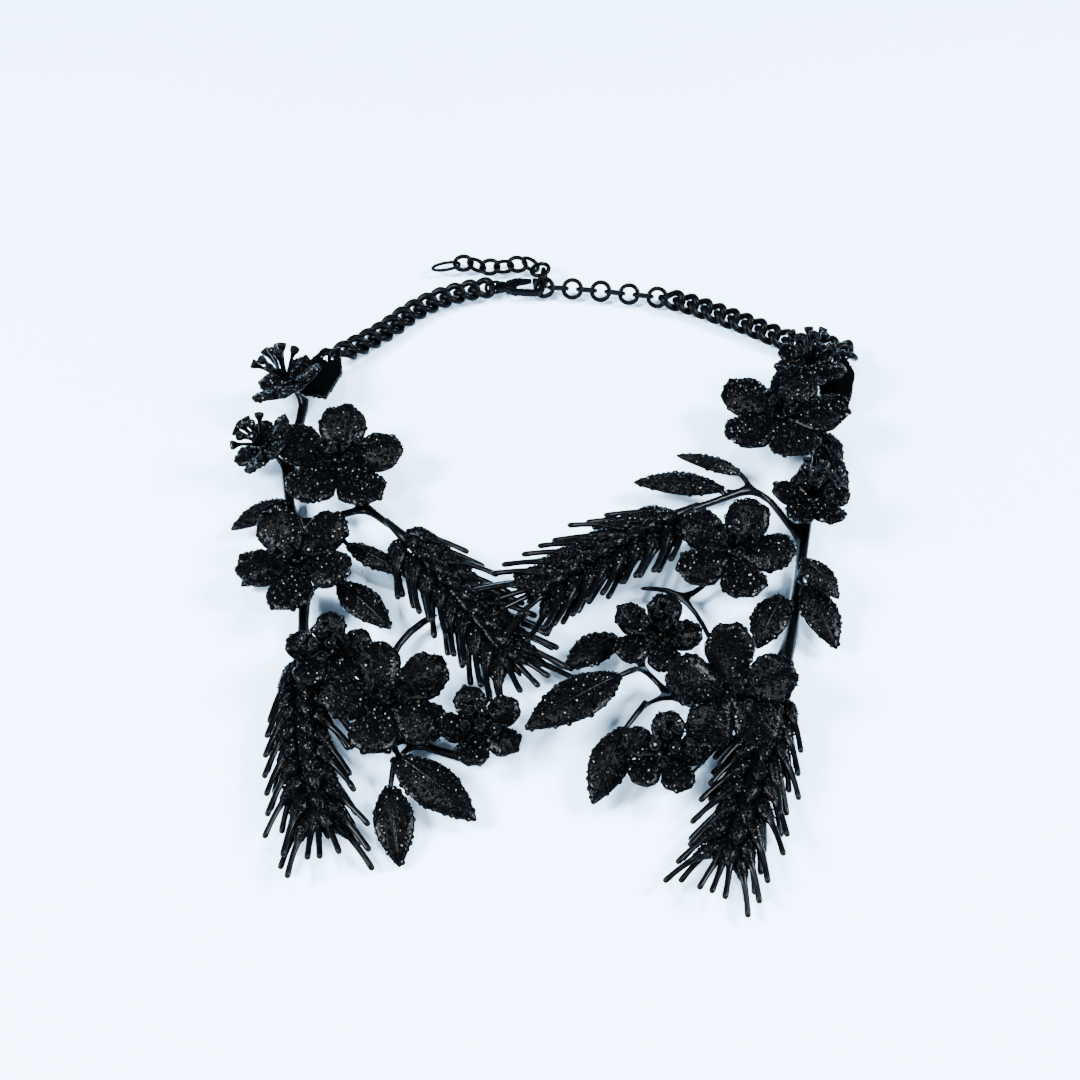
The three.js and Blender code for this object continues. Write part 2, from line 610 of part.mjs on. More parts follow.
// Chain, clasp and tail along their routes. Distances run along the route from the left plate's eye.
const route = routeCurve(CHAIN_ROUTE);
const routeLength = route.getLength();

// How far one link's wire sits inside the next one's end, so that they bite into one solid
function bite(wireA, wireB) {
  return (wireA + wireB) / 2 - LINK_BITE;
}

function ringAt(curve, centre, shape) {
  const at = centre / curve.getLength();
  const point = curve.getPointAt(at);
  const frame = frameAlong(point, point.clone().add(curve.getTangentAt(at)));
  return solidOf(shape.applyMatrix4(frame.matrixWorld));
}

// Curb links from the middle of the first wire to the middle of the last one
function curbRow(curve, startWire, endWire, count) {
  const span = endWire - startWire - CURB_WIRE + LINK_BITE;
  const pitch = span / count;
  const half = (pitch + CURB_WIRE - LINK_BITE) / 2;
  const solids = [];
  for (let i = 0; i < count; i++) {
    const shape = link(half, (CURB_WIDTH - CURB_WIRE) / 2, CURB_WIRE, 0, ROLL);
    solids.push(ringAt(curve, startWire + half + i * pitch, shape));
  }
  return solids;
}

const jump = () => link(HALF_JUMP, HALF_JUMP, JUMP_WIRE, Math.PI / 2, 0);
const claspEye = routeLength * CLASP_AT;
const swivelBack = claspEye - 2 * HALF_JUMP;
const leftEnd = swivelBack + (CURB_WIRE + JUMP_WIRE) / 2 + CLEARANCE;
const leftLinks = curbRow(route, 2 * HALF_JUMP - bite(JUMP_WIRE, CURB_WIRE), leftEnd, LEFT_CURB_LINKS);
leftLinks.push(ringAt(route, HALF_JUMP, jump()));
addPart("chain_left", CHAIN, HERE, fuse(leftLinks));
addPart("clasp_ring", CHAIN, HERE, ringAt(route, claspEye - HALF_JUMP, jump()));

// The clasp lies flat, with its eye at the origin of its frame and its nose towards the extender
const eyeWall = CLASP_EYE / 2 + CLASP_EYE_WALL;
const noseRadius = CLASP_WIDTH / 2;
const noseInside = noseRadius - CLASP_WALL;
const noseX = CLASP_LENGTH - eyeWall - noseRadius;
const blockStart = CLASP_EYE / 2 + CLASP_BLOCK_INSET;
const blockEnd = blockStart + CLASP_BLOCK_LENGTH;
const slotHeight = LEVER_THICKNESS + 2 * CLEARANCE;
const blockThickness = slotHeight + 2 * CLASP_CHEEK;
const pinX = blockEnd - LEVER_PIN_INSET;
const pinY = LEVER_PIN_INSET;
const mouthEnd = noseX - CLASP_MOUTH_INSET;

function slab(shape, thickness, holes = []) {
  shape.holes.push(...holes);
  const body = new THREE.ExtrudeGeometry(shape, { depth: thickness, bevelEnabled: false, curveSegments: 6 });
  return solidOf(body.translate(0, 0, -thickness / 2));
}

function roundHole(x, y, radius) {
  const hole = new THREE.Path();
  hole.absarc(x, y, radius, 0, 2 * Math.PI, true);
  return hole;
}

function claspBody() {
  const eye = new THREE.Shape();
  eye.absarc(0, 0, eyeWall, Math.PI / 4, 2 * Math.PI - Math.PI / 4, false);
  eye.lineTo(blockStart + 1, -eyeWall * 0.7);
  eye.lineTo(blockStart + 1, eyeWall * 0.7);
  const claw = new THREE.Shape();
  claw.moveTo(blockStart, -1.8);
  claw.lineTo(blockStart + 2, -noseRadius * 0.85);
  claw.lineTo(noseX, -noseRadius);
  claw.absarc(noseX, 0, noseRadius, -Math.PI / 2, Math.PI / 2, false);
  claw.lineTo(mouthEnd, noseRadius);
  claw.lineTo(mouthEnd, noseInside);
  claw.absarc(noseX, 0, noseInside, Math.PI / 2, -Math.PI / 2, true);
  claw.lineTo(blockEnd, -noseInside * 0.85);
  claw.lineTo(blockStart, 0);
  const block = new THREE.Shape();
  block.moveTo(blockStart, -1.6);
  block.lineTo(blockEnd, -noseRadius * 0.8);
  block.lineTo(blockEnd, noseRadius * 0.8);
  block.lineTo(blockStart, 1.6);
  const slot = new THREE.BoxGeometry(blockEnd, noseRadius * 2, slotHeight);
  slot.translate(pinX - LEVER_PIN - 1 + blockEnd / 2, noseRadius + pinY - LEVER_PIN - 1, 0);
  const pin = new THREE.CylinderGeometry(LEVER_PIN / 2, LEVER_PIN / 2, blockThickness - 0.2, 10);
  pin.rotateX(Math.PI / 2).translate(pinX, pinY, 0);
  return slab(eye, CLASP_THICKNESS, [roundHole(0, 0, CLASP_EYE / 2)])
    .add(slab(claw, CLASP_THICKNESS))
    .add(slab(block, blockThickness))
    .subtract(solidOf(slot))
    .add(solidOf(pin));
}

function claspLever() {
  const tipX = mouthEnd - CLEARANCE;
  const tipY = noseRadius - LEVER_WIDTH;
  const eye = LEVER_PIN / 2 + CLEARANCE;
  const round = eye + 0.5;
  const arm = new THREE.Shape();
  arm.moveTo(pinX, pinY - round);
  arm.lineTo(tipX, tipY);
  arm.lineTo(tipX, tipY + LEVER_WIDTH);
  arm.lineTo(blockEnd + 1.6, noseRadius + 0.1);
  arm.lineTo(blockEnd + 0.8, noseRadius + 0.7);
  arm.lineTo(pinX + 0.4, pinY + round);
  arm.absarc(pinX, pinY, round, Math.PI / 2, Math.PI * 1.5, false);
  return slab(arm, LEVER_THICKNESS, [roundHole(pinX, pinY, eye)]);
}

// The captured ring hangs on the nose, clear of its wall
const ringInside = HALF_RING - RING_WIRE / 2 - CLEARANCE;
const noseCorner = CLASP_THICKNESS / 2 / Math.sin(ROLL);
const ringX = noseX + noseInside + Math.sqrt(ringInside ** 2 - noseCorner ** 2);
const eyePoint = route.getPointAt(claspEye / routeLength);
const ringPoint = route.getPointAt((claspEye + ringX) / routeLength);
const claspFrame = frameAlong(eyePoint, ringPoint);
addPart("clasp_body", SMOOTH, claspFrame, claspBody());
addPart("clasp_lever", SMOOTH, claspFrame, claspLever(), false);

// The extender from the clasp, then the right chain
const ringsStart = claspEye + ringX;
const rightLinks = [];
for (let i = 0; i < EXTENDER_RINGS; i++) {
  const shape = link(HALF_RING, HALF_RING, RING_WIRE, i % 2 ? -ROLL : ROLL, 0);
  rightLinks.push(ringAt(route, ringsStart + i * RING_PITCH, shape));
}
const ringsEnd = ringsStart + (EXTENDER_RINGS - 1) * RING_PITCH + HALF_RING;
const rightStart = ringsEnd - bite(RING_WIRE, CURB_WIRE);
const rightEnd = routeLength - 2 * HALF_JUMP + bite(JUMP_WIRE, CURB_WIRE);
rightLinks.push(...curbRow(route, rightStart, rightEnd, RIGHT_CURB_LINKS));
rightLinks.push(ringAt(route, routeLength - HALF_JUMP, jump()));
addPart("chain_right", CHAIN, HERE, fuse(rightLinks));

// The tail: the extender's spare rings, from inside the captured ring, and the plain oval charm
const tailStart = ringPoint.clone().add(new THREE.Vector3(0, Math.cos(ROLL), Math.sin(ROLL))
  .multiplyScalar(HALF_RING - RING_WIRE - CLEARANCE));
const tailRoute = new THREE.CatmullRomCurve3([tailStart, ...TAIL_ROUTE.map(([x, y, z]) => place(x, y, z))]);
const tailLinks = [];
for (let i = 0; i < TAIL_RINGS; i++) {
  const shape = link(HALF_RING, HALF_RING, RING_WIRE, i % 2 ? TAIL_ROLL_ODD : TAIL_ROLL_EVEN, 0);
  tailLinks.push(ringAt(tailRoute, HALF_RING + i * RING_PITCH, shape));
}
addPart("chain_tail", CHAIN, HERE, fuse(tailLinks));
const halfCharm = (CHARM_LENGTH - CHARM_WIRE) / 2;
const tailEnd = (TAIL_RINGS - 1) * RING_PITCH + 2 * HALF_RING;
const charmCentre = tailEnd - (RING_WIRE + CHARM_WIRE) / 2 - CLEARANCE + halfCharm;
const charmShape = link(halfCharm, (CHARM_WIDTH - CHARM_WIRE) / 2, CHARM_WIRE, CHARM_ROLL, 0);
addPart("charm_oval", CHAIN, HERE, ringAt(tailRoute, charmCentre, charmShape));

// The two halves meet at a short link between the inner ears
const joint = JOINT_PLACES.map(([x, y, z]) => place(x, y, z));
addPart("centre_link", SMOOTH, HERE, solidOf(wire(new THREE.LineCurve3(...joint), BRANCH_WIRE, 1, 6)));

// Flowers, ears and leaves
for (const row of FLOWERS) {
  const heading = new THREE.Vector3(row.leanX, row.leanY, 1).normalize();
  const point = place(row.x, row.y, row.z);
  const frame = frameOn(point, heading, row.turn);
  addPart(`petals_${row.name}`, PAVE, frame, whorl(row.kind, row.size));
  const top = point.clone().addScaledVector(heading, HUB_HEIGHT + CLEARANCE + STAMEN_SEAT);
  const count = row.kind === "large" ? LARGE_STAMENS : SMALL_STAMENS;
  addPart(`stamens_${row.name}`, BEAD, frameOn(top, heading, row.turn), stamens(count, STAMEN_LENGTH * row.stamen));
}
for (const row of EARS) {
  const base = place(row.x0, row.y0, row.z0);
  const tip = place(row.x1, row.y1, row.z1);
  addPart(`ear_${row.name}`, PAVE, frameAlong(base, tip), ear(base.distanceTo(tip), row.bow, row.pairs));
}
for (const row of LEAVES) {
  const base = place(row.x0, row.y0, row.z0);
  const tip = place(row.x1, row.y1, row.z1);
  addPart(`leaf_${row.name}`, PAVE, frameAlong(base, tip), leaf(base.distanceTo(tip), row.width * LEAF_WIDTH));
}

// The origin is the middle of the necklace's foot on the table
necklace.updateMatrixWorld(true);
const box = new THREE.Box3().setFromObject(necklace, true);
const middle = box.getCenter(new THREE.Vector3());
necklace.position.set(-middle.x, -middle.y, -box.min.z);
necklace.updateMatrixWorld(true);

export default necklace;
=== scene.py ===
"""Looks of the floral bib necklace: rounded black metal set with faceted stones, on a pale table."""

import math

import bpy
import numpy as np
from mathutils import Matrix, Quaternion, Vector
from mathutils.kdtree import KDTree


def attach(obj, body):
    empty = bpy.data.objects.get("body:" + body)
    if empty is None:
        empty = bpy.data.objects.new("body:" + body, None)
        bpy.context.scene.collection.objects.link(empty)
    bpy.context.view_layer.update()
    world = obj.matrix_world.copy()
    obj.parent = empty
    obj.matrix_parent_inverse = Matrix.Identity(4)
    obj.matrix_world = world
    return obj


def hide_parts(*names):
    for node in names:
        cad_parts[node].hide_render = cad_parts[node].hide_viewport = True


bl_info = {
    "name": "Floral bib necklace",
    "version": (1, 0, 0),
    "blender": (4, 5, 0),
    "location": "View3D > Sidebar > Necklace",
    "description": "Builds the looks of a black floral bib necklace round its CAD frame",
    "category": "Object",
}

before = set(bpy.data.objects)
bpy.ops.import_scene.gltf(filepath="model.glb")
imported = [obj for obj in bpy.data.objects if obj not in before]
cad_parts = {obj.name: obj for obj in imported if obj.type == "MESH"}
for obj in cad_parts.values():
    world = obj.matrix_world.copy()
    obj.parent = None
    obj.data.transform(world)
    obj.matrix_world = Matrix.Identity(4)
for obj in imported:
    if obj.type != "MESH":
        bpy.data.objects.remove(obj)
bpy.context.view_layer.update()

MM = 0.001
UP = Vector((0, 0, 1))
SEED = 7

# The bib's own grid, as in the CAD part: shares of its width, length and height
BIB_WIDTH = 200
BIB_LENGTH = 190
BIB_HEIGHT = 30
NECK_LINE = 62
SHIFT = Vector((-4.7069, -0.2468, -0.0474))

# Flowers: seat shares, lean of the axis from upright, turn, reach in mm, stamens and their length in mm
FLOWERS = [
    ("left_top", -0.405, -0.036, 0.35, -0.42, 0.3, 0, 12.4, 9, 12.1),
    ("left_side", -0.425, -0.178, 0.34, -0.75, 0.05, 36, 11.9, 9, 9.9),
    ("left_collar", -0.315, -0.21, 0.34, 0.08, -0.1, 17, 20.7, 6, 8.8),
    ("left_shoulder", -0.358, -0.42, 0.33, -0.12, -0.1, 48, 18.5, 6, 8.8),
    ("left_inner", -0.298, -0.61, 0.42, -0.05, -0.1, 90, 12.4, 9, 8.8),
    ("left_heart", -0.212, -0.681, 0.3, 0.08, -0.12, 37, 18.5, 6, 7.7),
    ("left_low", -0.083, -0.726, 0.27, 0.08, -0.12, 40, 12.4, 9, 8.8),
    ("right_top", 0.44, 0.0, 0.38, 0.0, 0.15, 54, 12.4, 9, 12.1),
    ("right_collar", 0.387, -0.114, 0.36, -0.1, 0, -5, 21.1, 6, 8.8),
    ("right_side", 0.415, -0.303, 0.36, 0.05, 0.05, 18, 12.4, 9, 12.1),
    ("right_shoulder", 0.289, -0.403, 0.33, -0.08, -0.1, -7, 18.5, 6, 9.9),
    ("right_inner", 0.165, -0.567, 0.33, 0, -0.1, 70, 13.4, 9, 9.9),
    ("right_heart", 0.265, -0.676, 0.42, 0.04, -0.5, 20, 18.5, 6, 7.7),
    ("right_low", 0.168, -0.775, 0.3, 0, -0.12, 80, 12.4, 9, 9.9),
]
FLOWER_COLUMNS = ("name", "x", "y", "z", "lean_x", "lean_y", "turn", "reach", "stamens", "stamen_length")

# Ears of wheat: base and tip shares, sideways bow as a share of the length, pairs of side spikelets
EARS = [
    ("left_inner", -0.215, -0.35, 0.3, -0.026, -0.632, 0.3, 0.03, 9),
    ("left_outer", -0.34, -0.585, 0.25, -0.279, -0.9, 0.22, -0.05, 9),
    ("right_inner", 0.219, -0.307, 0.3, -0.02, -0.53, 0.6, -0.03, 9),
    ("right_outer", 0.335, -0.66, 0.28, 0.231, -0.952, 0.2, 0.02, 8),
]
EAR_COLUMNS = ("name", "x0", "y0", "z0", "x1", "y1", "z1", "bow", "pairs")
# Ranks of spikelets round an ear: angles from its axis in degrees, share of the full length,
# where they start, and 1 where the pods end in awns
RANKS = [
    ("left", 43, 20, 3, 1, 0.0, 0.2, 0.02, 1),
    ("right", -43, -20, 3, 1, 0.5, -0.2, 0.02, 1),
    ("top", 12, -6, 11, 0.95, 0.3, 0.0, 0.13, 0),
    ("low_left", 37, 20, -5, 0.97, 0.5, 0.22, -0.14, 1),
    ("low_right", -37, -20, -5, 0.97, 0.0, -0.22, -0.14, 1),
]
RANK_COLUMNS = ("name", "side_start", "side_end", "rise", "reach", "offset", "out", "up", "awn")
# Spikelets that fan out at the ear's tip, and where they start
TIP_ANGLES = (-17, 0, 15)
TIP_START = 0.9
TIP_REACH = 0.88
TIP_RISE = 6
EAR_LENGTH = 60
EAR_CORE = 8
EAR_FIRST = 0.02
EAR_SPAN = 0.885
EAR_FLAT = 0.65
SPIKELET_LENGTH = 21

# Chain: its route from the left plate's eye to the right one's, and the extender's loose tail
CHAIN_ROUTE = [
    (-0.352, 0.052, 0.3), (-0.323, 0.091, 0.19), (-0.264, 0.153, 0.13), (-0.221, 0.202, 0.13),
    (-0.171, 0.24, 0.13), (-0.1, 0.266, 0.13), (0.015, 0.266, 0.14), (0.15, 0.249, 0.14),
    (0.246, 0.229, 0.13), (0.349, 0.173, 0.13), (0.44, 0.118, 0.13), (0.492, 0.106, 0.15),
    (0.517, 0.085, 0.2), (0.492, 0.044, 0.3),
]
TAIL_ROUTE = [
    (0.006, 0.301, 0.17), (-0.023, 0.334, 0.14), (-0.063, 0.325, 0.14), (-0.1, 0.327, 0.13),
    (-0.132, 0.339, 0.12), (-0.174, 0.33, 0.11), (-0.24, 0.323, 0.09),
]
CLASP_AT = 0.352
CLEARANCE = 0.3
LEFT_CURB_LINKS = 12
RIGHT_CURB_LINKS = 14
CURB_WIDTH = 9.4
CURB_WIRE = 2.6
RING_PITCH = 5
RING_WIRE = 1.6
JUMP_RING = 6.8
JUMP_WIRE = 1.3
LINK_BITE = 0.35
EXTENDER_RINGS = 9
TAIL_RINGS = 8
CLASP_LENGTH = 17.5
CLASP_WIDTH = 7.8
CLASP_THICKNESS = 2
CLASP_WALL = 1.8
CLASP_EYE = 2.4
CHARM_LENGTH = 11
CHARM_WIDTH = 6
CHARM_WIRE = 1.2
HUB_HEIGHT = 2.4
STAMEN_SEAT = 0.8


def length(name, description, millimetres):
    return bpy.props.FloatProperty(
        name=name, description=description, default=millimetres * MM, subtype="DISTANCE")


def colour(name, description, shade):
    return bpy.props.FloatVectorProperty(
        name=name, description=description, default=shade, subtype="COLOR", size=3)


class NecklaceSizes(bpy.types.PropertyGroup):
    """Sizes of the stones and of the fine forms"""

    stone_size: length("Stone size", "Width of a stone on petals and leaves", 1.6)
    stone_pitch: length("Stone pitch", "Least distance between stones", 1.6)
    ear_stone_size: length("Ear stone size", "Width of a stone on the ears' pods", 1.15)
    grain_size: length("Grain size", "Width of a metal grain between stones", 0.62)
    petal_thickness: length("Petal thickness", "Thickness of the petals", 1.5)
    pod_girth: length("Pod girth", "Width of a pod of the ears", 4.7)
    awn_wire: length("Awn wire", "Thickness of the ears' awns", 1.75)
    stamen_wire: length("Stamen wire", "Thickness of a stamen", 1.2)
    stamen_cup: length("Stamen cup", "Width of the cup at a stamen's end", 3.2)
    midrib: length("Midrib", "Width of a leaf's midrib", 1.3)


class NecklaceColours(bpy.types.PropertyGroup):
    """Colours of the metal, the stones and the table"""

    metal: colour("Metal", "Black paint on the metal", (0.0002, 0.00026, 0.00034))
    stone_dark: colour("Dark stone", "Darkest stones", (0.00015, 0.0002, 0.00026))
    stone_light: colour("Light stone", "Lightest stones", (0.0008, 0.001, 0.0014))
    chain: colour("Chain", "Black plating on the chain", (0.0003, 0.0004, 0.0005))
    table: colour("Table", "The pale table", (0.52, 0.74, 0.97))


# Places and frames

def place(x, y, z):
    return (Vector((x * BIB_WIDTH, NECK_LINE + y * BIB_LENGTH, z * BIB_HEIGHT)) + SHIFT) * MM


def rows(columns, table):
    return [dict(zip(columns, row)) for row in table]


def frame_on(point, axis, turn):
    spin = UP.rotation_difference(axis) @ Quaternion(UP, math.radians(turn))
    return Matrix.Translation(point) @ spin.to_matrix().to_4x4()


def frame_along(start, end):
    forward = (end - start).normalized()
    side = UP.cross(forward).normalized()
    over = forward.cross(side)
    turned = Matrix((forward, side, over)).transposed()
    return Matrix.Translation(start) @ turned.to_4x4()


# Objects

def pick(*pieces):
    bpy.ops.object.select_all(action="DESELECT")
    for piece in pieces:
        piece.select_set(True)
    bpy.context.view_layer.objects.active = pieces[0]


def added(operator, name, **settings):
    bpy.ops.object.select_all(action="DESELECT")
    operator(**settings)
    piece = bpy.context.object
    piece.name = name
    return piece


def edited(piece, *steps):
    """Runs edit mode operators on all of a piece: (operator, settings) pairs."""
    pick(piece)
    bpy.ops.object.mode_set(mode="EDIT")
    bpy.ops.mesh.select_all(action="SELECT")
    for operator, settings in steps:
        operator(**settings)
    bpy.ops.object.mode_set(mode="OBJECT")


def copied(node, name):
    """A merged copy of a CAD node, in quads where it can be."""
    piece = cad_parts[node].copy()
    piece.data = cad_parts[node].data.copy()
    piece.parent = None
    piece.name = name
    for key in list(piece.keys()):
        if key.startswith("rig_"):
            del piece[key]
    bpy.context.scene.collection.objects.link(piece)
    piece.data.materials.clear()
    edited(piece, (bpy.ops.mesh.remove_doubles, {"threshold": 0.00001}),
           (bpy.ops.mesh.tris_convert_to_quads, {"face_threshold": 0.7, "shape_threshold": 1.2}))
    return piece


def modified(piece, kind, **settings):
    pick(piece)
    modifier = piece.modifiers.new(kind.lower(), kind)
    for key, value in settings.items():
        setattr(modifier, key, value)
    bpy.ops.object.modifier_apply(modifier=modifier.name)
    return piece


def smoothed(piece, degrees=40):
    pick(piece)
    bpy.ops.object.shade_smooth_by_angle(angle=math.radians(degrees))
    return piece


def finished(piece, materials, body="necklace", replaces=()):
    if materials:
        piece.data.materials.clear()
        dressed(piece, *materials)
    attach(piece, body)
    if replaces:
        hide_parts(*replaces)
    return piece


def dressed(piece, *materials):
    """Adds materials to a piece, in the order of its faces' slots."""
    for material in materials:
        piece.data.materials.append(material)
    return piece


def tree_of(points):
    """A search tree of points."""
    tree = KDTree(max(len(points), 1))
    for i, point in enumerate(points):
        tree.insert(point, i)
    tree.balance()
    return tree


def joined(name, pieces):
    pick(*pieces)
    bpy.ops.object.join()
    whole = bpy.context.object
    whole.name = name
    return whole


class Form:
    """The points and faces of one small mesh, to be repeated many times."""

    def __init__(self, piece):
        mesh = piece.data
        self.points = np.zeros(len(mesh.vertices) * 3)
        mesh.vertices.foreach_get("co", self.points)
        self.points = self.points.reshape(-1, 3)
        self.corners = np.zeros(len(mesh.loops), int)
        mesh.loops.foreach_get("vertex_index", self.corners)
        self.counts = np.zeros(len(mesh.polygons), int)
        mesh.polygons.foreach_get("loop_total", self.counts)
        self.slots = np.zeros(len(mesh.polygons), int)
        mesh.polygons.foreach_get("material_index", self.slots)
        bpy.data.objects.remove(piece)

    def repeated(self, name, placed, smooth=False):
        """One mesh of many copies: placed holds each copy's points."""
        copies = len(placed)
        mesh = bpy.data.meshes.new(name)
        mesh.vertices.add(copies * len(self.points))
        mesh.vertices.foreach_set("co", np.concatenate(placed).ravel())
        starts = np.arange(copies)[:, None] * len(self.points)
        mesh.loops.add(copies * len(self.corners))
        mesh.loops.foreach_set("vertex_index", (self.corners + starts).ravel().astype(np.int32))
        counts = np.tile(self.counts, copies)
        mesh.polygons.add(len(counts))
        first = np.concatenate([[0], np.cumsum(counts)[:-1]])
        mesh.polygons.foreach_set("loop_start", first.astype(np.int32))
        mesh.polygons.foreach_set("loop_total", counts.astype(np.int32))
        mesh.polygons.foreach_set("material_index", np.tile(self.slots, copies).astype(np.int32))
        mesh.polygons.foreach_set("use_smooth", np.full(len(counts), smooth))
        mesh.update(calc_edges=True)
        piece = bpy.data.objects.new(name, mesh)
        bpy.context.scene.collection.objects.link(piece)
        return piece


# Stones

# How stones and grains sit: their widths and pitch as shares, and how far they sink in and lean
STONE_WIDTHS = (0.72, 0.9, 1.0, 1.06)
STONE_SINK = -0.1
STONE_LEAN = 0.2
GRAIN_PITCH = 0.62
GRAIN_CLEAR = 0.56
GRAIN_SINK = 0.3
GRAIN_LEAN = 0.05
# Tries at a seat for each square of the pitch
SEAT_TRIES = 14
# A stone's foot and top, as shares of half its width, and the radius that parts the stone from its collet
STONE_FOOT = 1.22
STONE_TOP = 0.98
STONE_DEEP = 0.9
STONE_EDGE = 0.66


def stone_form():
    """A raised collet of metal round a faceted stone: eight sides, a crown and a flat table."""
    stone = added(bpy.ops.mesh.primitive_cone_add, "stone", vertices=8, radius1=STONE_FOOT,
                  radius2=STONE_TOP, depth=STONE_DEEP, end_fill_type="NGON", location=(0, 0, -0.15))
    mesh = stone.data
    mesh.transform(stone.matrix_basis)
    pick(stone)
    bpy.ops.object.mode_set(mode="EDIT")
    bpy.ops.mesh.select_mode(type="FACE")
    bpy.ops.mesh.select_all(action="DESELECT")
    bpy.ops.object.mode_set(mode="OBJECT")
    for face in mesh.polygons:
        face.select = face.normal.z > 0.9
    bpy.ops.object.mode_set(mode="EDIT")
    bpy.ops.mesh.inset(thickness=0.24, depth=-0.16)
    bpy.ops.mesh.inset(thickness=0.34, depth=0.34)
    bpy.ops.object.mode_set(mode="OBJECT")
    for face in mesh.polygons:
        low = min(mesh.vertices[corner].co.z for corner in face.vertices)
        face.material_index = int(low > 0 and face.center.xy.length < STONE_EDGE)
    return Form(stone)


def grain_form():
    """A small metal grain that holds the stones."""
    return Form(added(bpy.ops.mesh.primitive_uv_sphere_add, "grain", segments=5, ring_count=2, radius=1))


def surface_of(piece, keep):
    """Triangles of a piece that keep(centres, normals) accepts, as corner points, with corner normals."""
    mesh = piece.data
    mesh.calc_loop_triangles()
    points = np.zeros(len(mesh.vertices) * 3)
    mesh.vertices.foreach_get("co", points)
    points = points.reshape(-1, 3)
    normals = np.zeros(len(mesh.vertices) * 3)
    mesh.vertices.foreach_get("normal", normals)
    normals = normals.reshape(-1, 3)
    corners = np.zeros(len(mesh.loop_triangles) * 3, int)
    mesh.loop_triangles.foreach_get("vertices", corners)
    corners = corners.reshape(-1, 3)
    spread = points[corners]
    flat = np.cross(spread[:, 1] - spread[:, 0], spread[:, 2] - spread[:, 0])
    area = np.linalg.norm(flat, axis=1) / 2
    flat = flat / np.maximum(area[:, None] * 2, 1e-12)
    kept = (area > 1e-12) & keep(spread.mean(axis=1), flat)
    return spread[kept], normals[corners][kept], area[kept]


def seats_on(piece, keep, pitch, chance):
    """Places on a piece's surface no nearer than pitch to one another: points and normals."""
    spread, normals, area = surface_of(piece, keep)
    if not len(area):
        return np.zeros((0, 3)), np.zeros((0, 3))
    tries = int(area.sum() / pitch ** 2 * SEAT_TRIES) + 1
    which = chance.choice(len(area), size=tries, p=area / area.sum())
    a, b = np.sqrt(chance.random(tries)), chance.random(tries)
    share = np.stack([1 - a, a * (1 - b), a * b], axis=1)[:, :, None]
    points = (spread[which] * share).sum(axis=1)
    facing = (normals[which] * share).sum(axis=1)
    facing /= np.maximum(np.linalg.norm(facing, axis=1)[:, None], 1e-9)
    taken = {}
    chosen = []
    cells = np.floor(points / pitch).astype(int)
    for i in range(tries):
        x, y, z = cells[i]
        near = [j for dx in (-1, 0, 1) for dy in (-1, 0, 1) for dz in (-1, 0, 1)
                for j in taken.get((x + dx, y + dy, z + dz), ())]
        if any(((points[i] - points[j]) ** 2).sum() < pitch ** 2 for j in near):
            continue
        taken.setdefault((x, y, z), []).append(i)
        chosen.append(i)
    return points[chosen], facing[chosen]


def set_in(name, form, points, normals, sizes, sink, tilt, chance):
    """Copies of a form on a surface, each turned at random and tilted a little."""
    count = len(points)
    facing = normals + chance.normal(0, tilt, (count, 3))
    facing /= np.linalg.norm(facing, axis=1)[:, None]
    side = np.cross(facing, np.array([0.0, 0.0, 1.0]) + chance.normal(0, 0.2, (count, 3)))
    side /= np.linalg.norm(side, axis=1)[:, None]
    other = np.cross(facing, side)
    turn = chance.random(count)[:, None] * 2 * math.pi
    across = side * np.cos(turn) + other * np.sin(turn)
    along = np.cross(facing, across)
    basis = np.stack([across, along, facing], axis=1) * sizes[:, None, None]
    placed = form.points @ basis + (points + facing * (sink * sizes)[:, None])[:, None, :]
    return form.repeated(name, list(placed))


def paved(piece, keep, stone_width, pitch, seed, materials):
    """Joins stones and grains to a piece. Its slots become its own metal, then stone."""
    sizes = bpy.context.scene.necklace_sizes
    chance = np.random.default_rng(SEED + seed)
    points, normals = seats_on(piece, keep, pitch, chance)
    widths = stone_width / 2 * chance.choice(STONE_WIDTHS, len(points))
    stones = set_in("stones", STONE, points, normals, widths, STONE_SINK, STONE_LEAN, chance)
    dressed(stones, *materials[:2])
    spots, facing = seats_on(piece, keep, pitch * GRAIN_PITCH, chance)
    tree = tree_of(points)
    free = np.array([tree.find(spot)[2] > stone_width * GRAIN_CLEAR for spot in spots], bool)
    spots, facing = spots[free], facing[free]
    grains = set_in("grains", GRAIN, spots, facing,
                    sizes.grain_size / 2 * chance.uniform(0.7, 1.25, len(spots)),
                    GRAIN_SINK, GRAIN_LEAN, chance)
    return joined(piece.name, [piece, stones, dressed(grains, materials[0])])


# Lofted forms

def sheet_form(around, along):
    """A grid that is to be rolled into a tube: rings along, points around."""
    grid = added(bpy.ops.mesh.primitive_grid_add, "roll", x_subdivisions=around, y_subdivisions=along,
                 size=2, location=(0, 0, 0))
    return Form(grid)


def rolled(form, rings, squash=1.0):
    """Points of a tube through rings, each a middle, a heading and a radius."""
    along = len(rings) - 1
    placed = np.zeros((len(form.points), 3))
    frames = []
    for middle, heading, radius in rings:
        side = UP.cross(heading)
        if side.length < 0.001:
            side = Vector((0, 1, 0))
        side.normalize()
        frames.append((middle, side * radius, heading.cross(side).normalized() * (radius * squash)))
    for k, (x, y, _) in enumerate(form.points):
        middle, side, over = frames[round((y + 1) / 2 * along)]
        angle = math.pi * (x + 1)
        placed[k] = middle + side * math.cos(angle) + over * math.sin(angle)
    return placed


def rings_along(path, table):
    """Rings on path(u) from (along, radius) rows."""
    step = 0.01
    return [(path(u), (path(u + step) - path(u - step)).normalized(), radius) for u, radius in table]


def closed(piece):
    edited(piece, (bpy.ops.mesh.remove_doubles, {"threshold": 0.000004}),
           (bpy.ops.mesh.normals_make_consistent, {"inside": False}))
    return piece


# Flowers

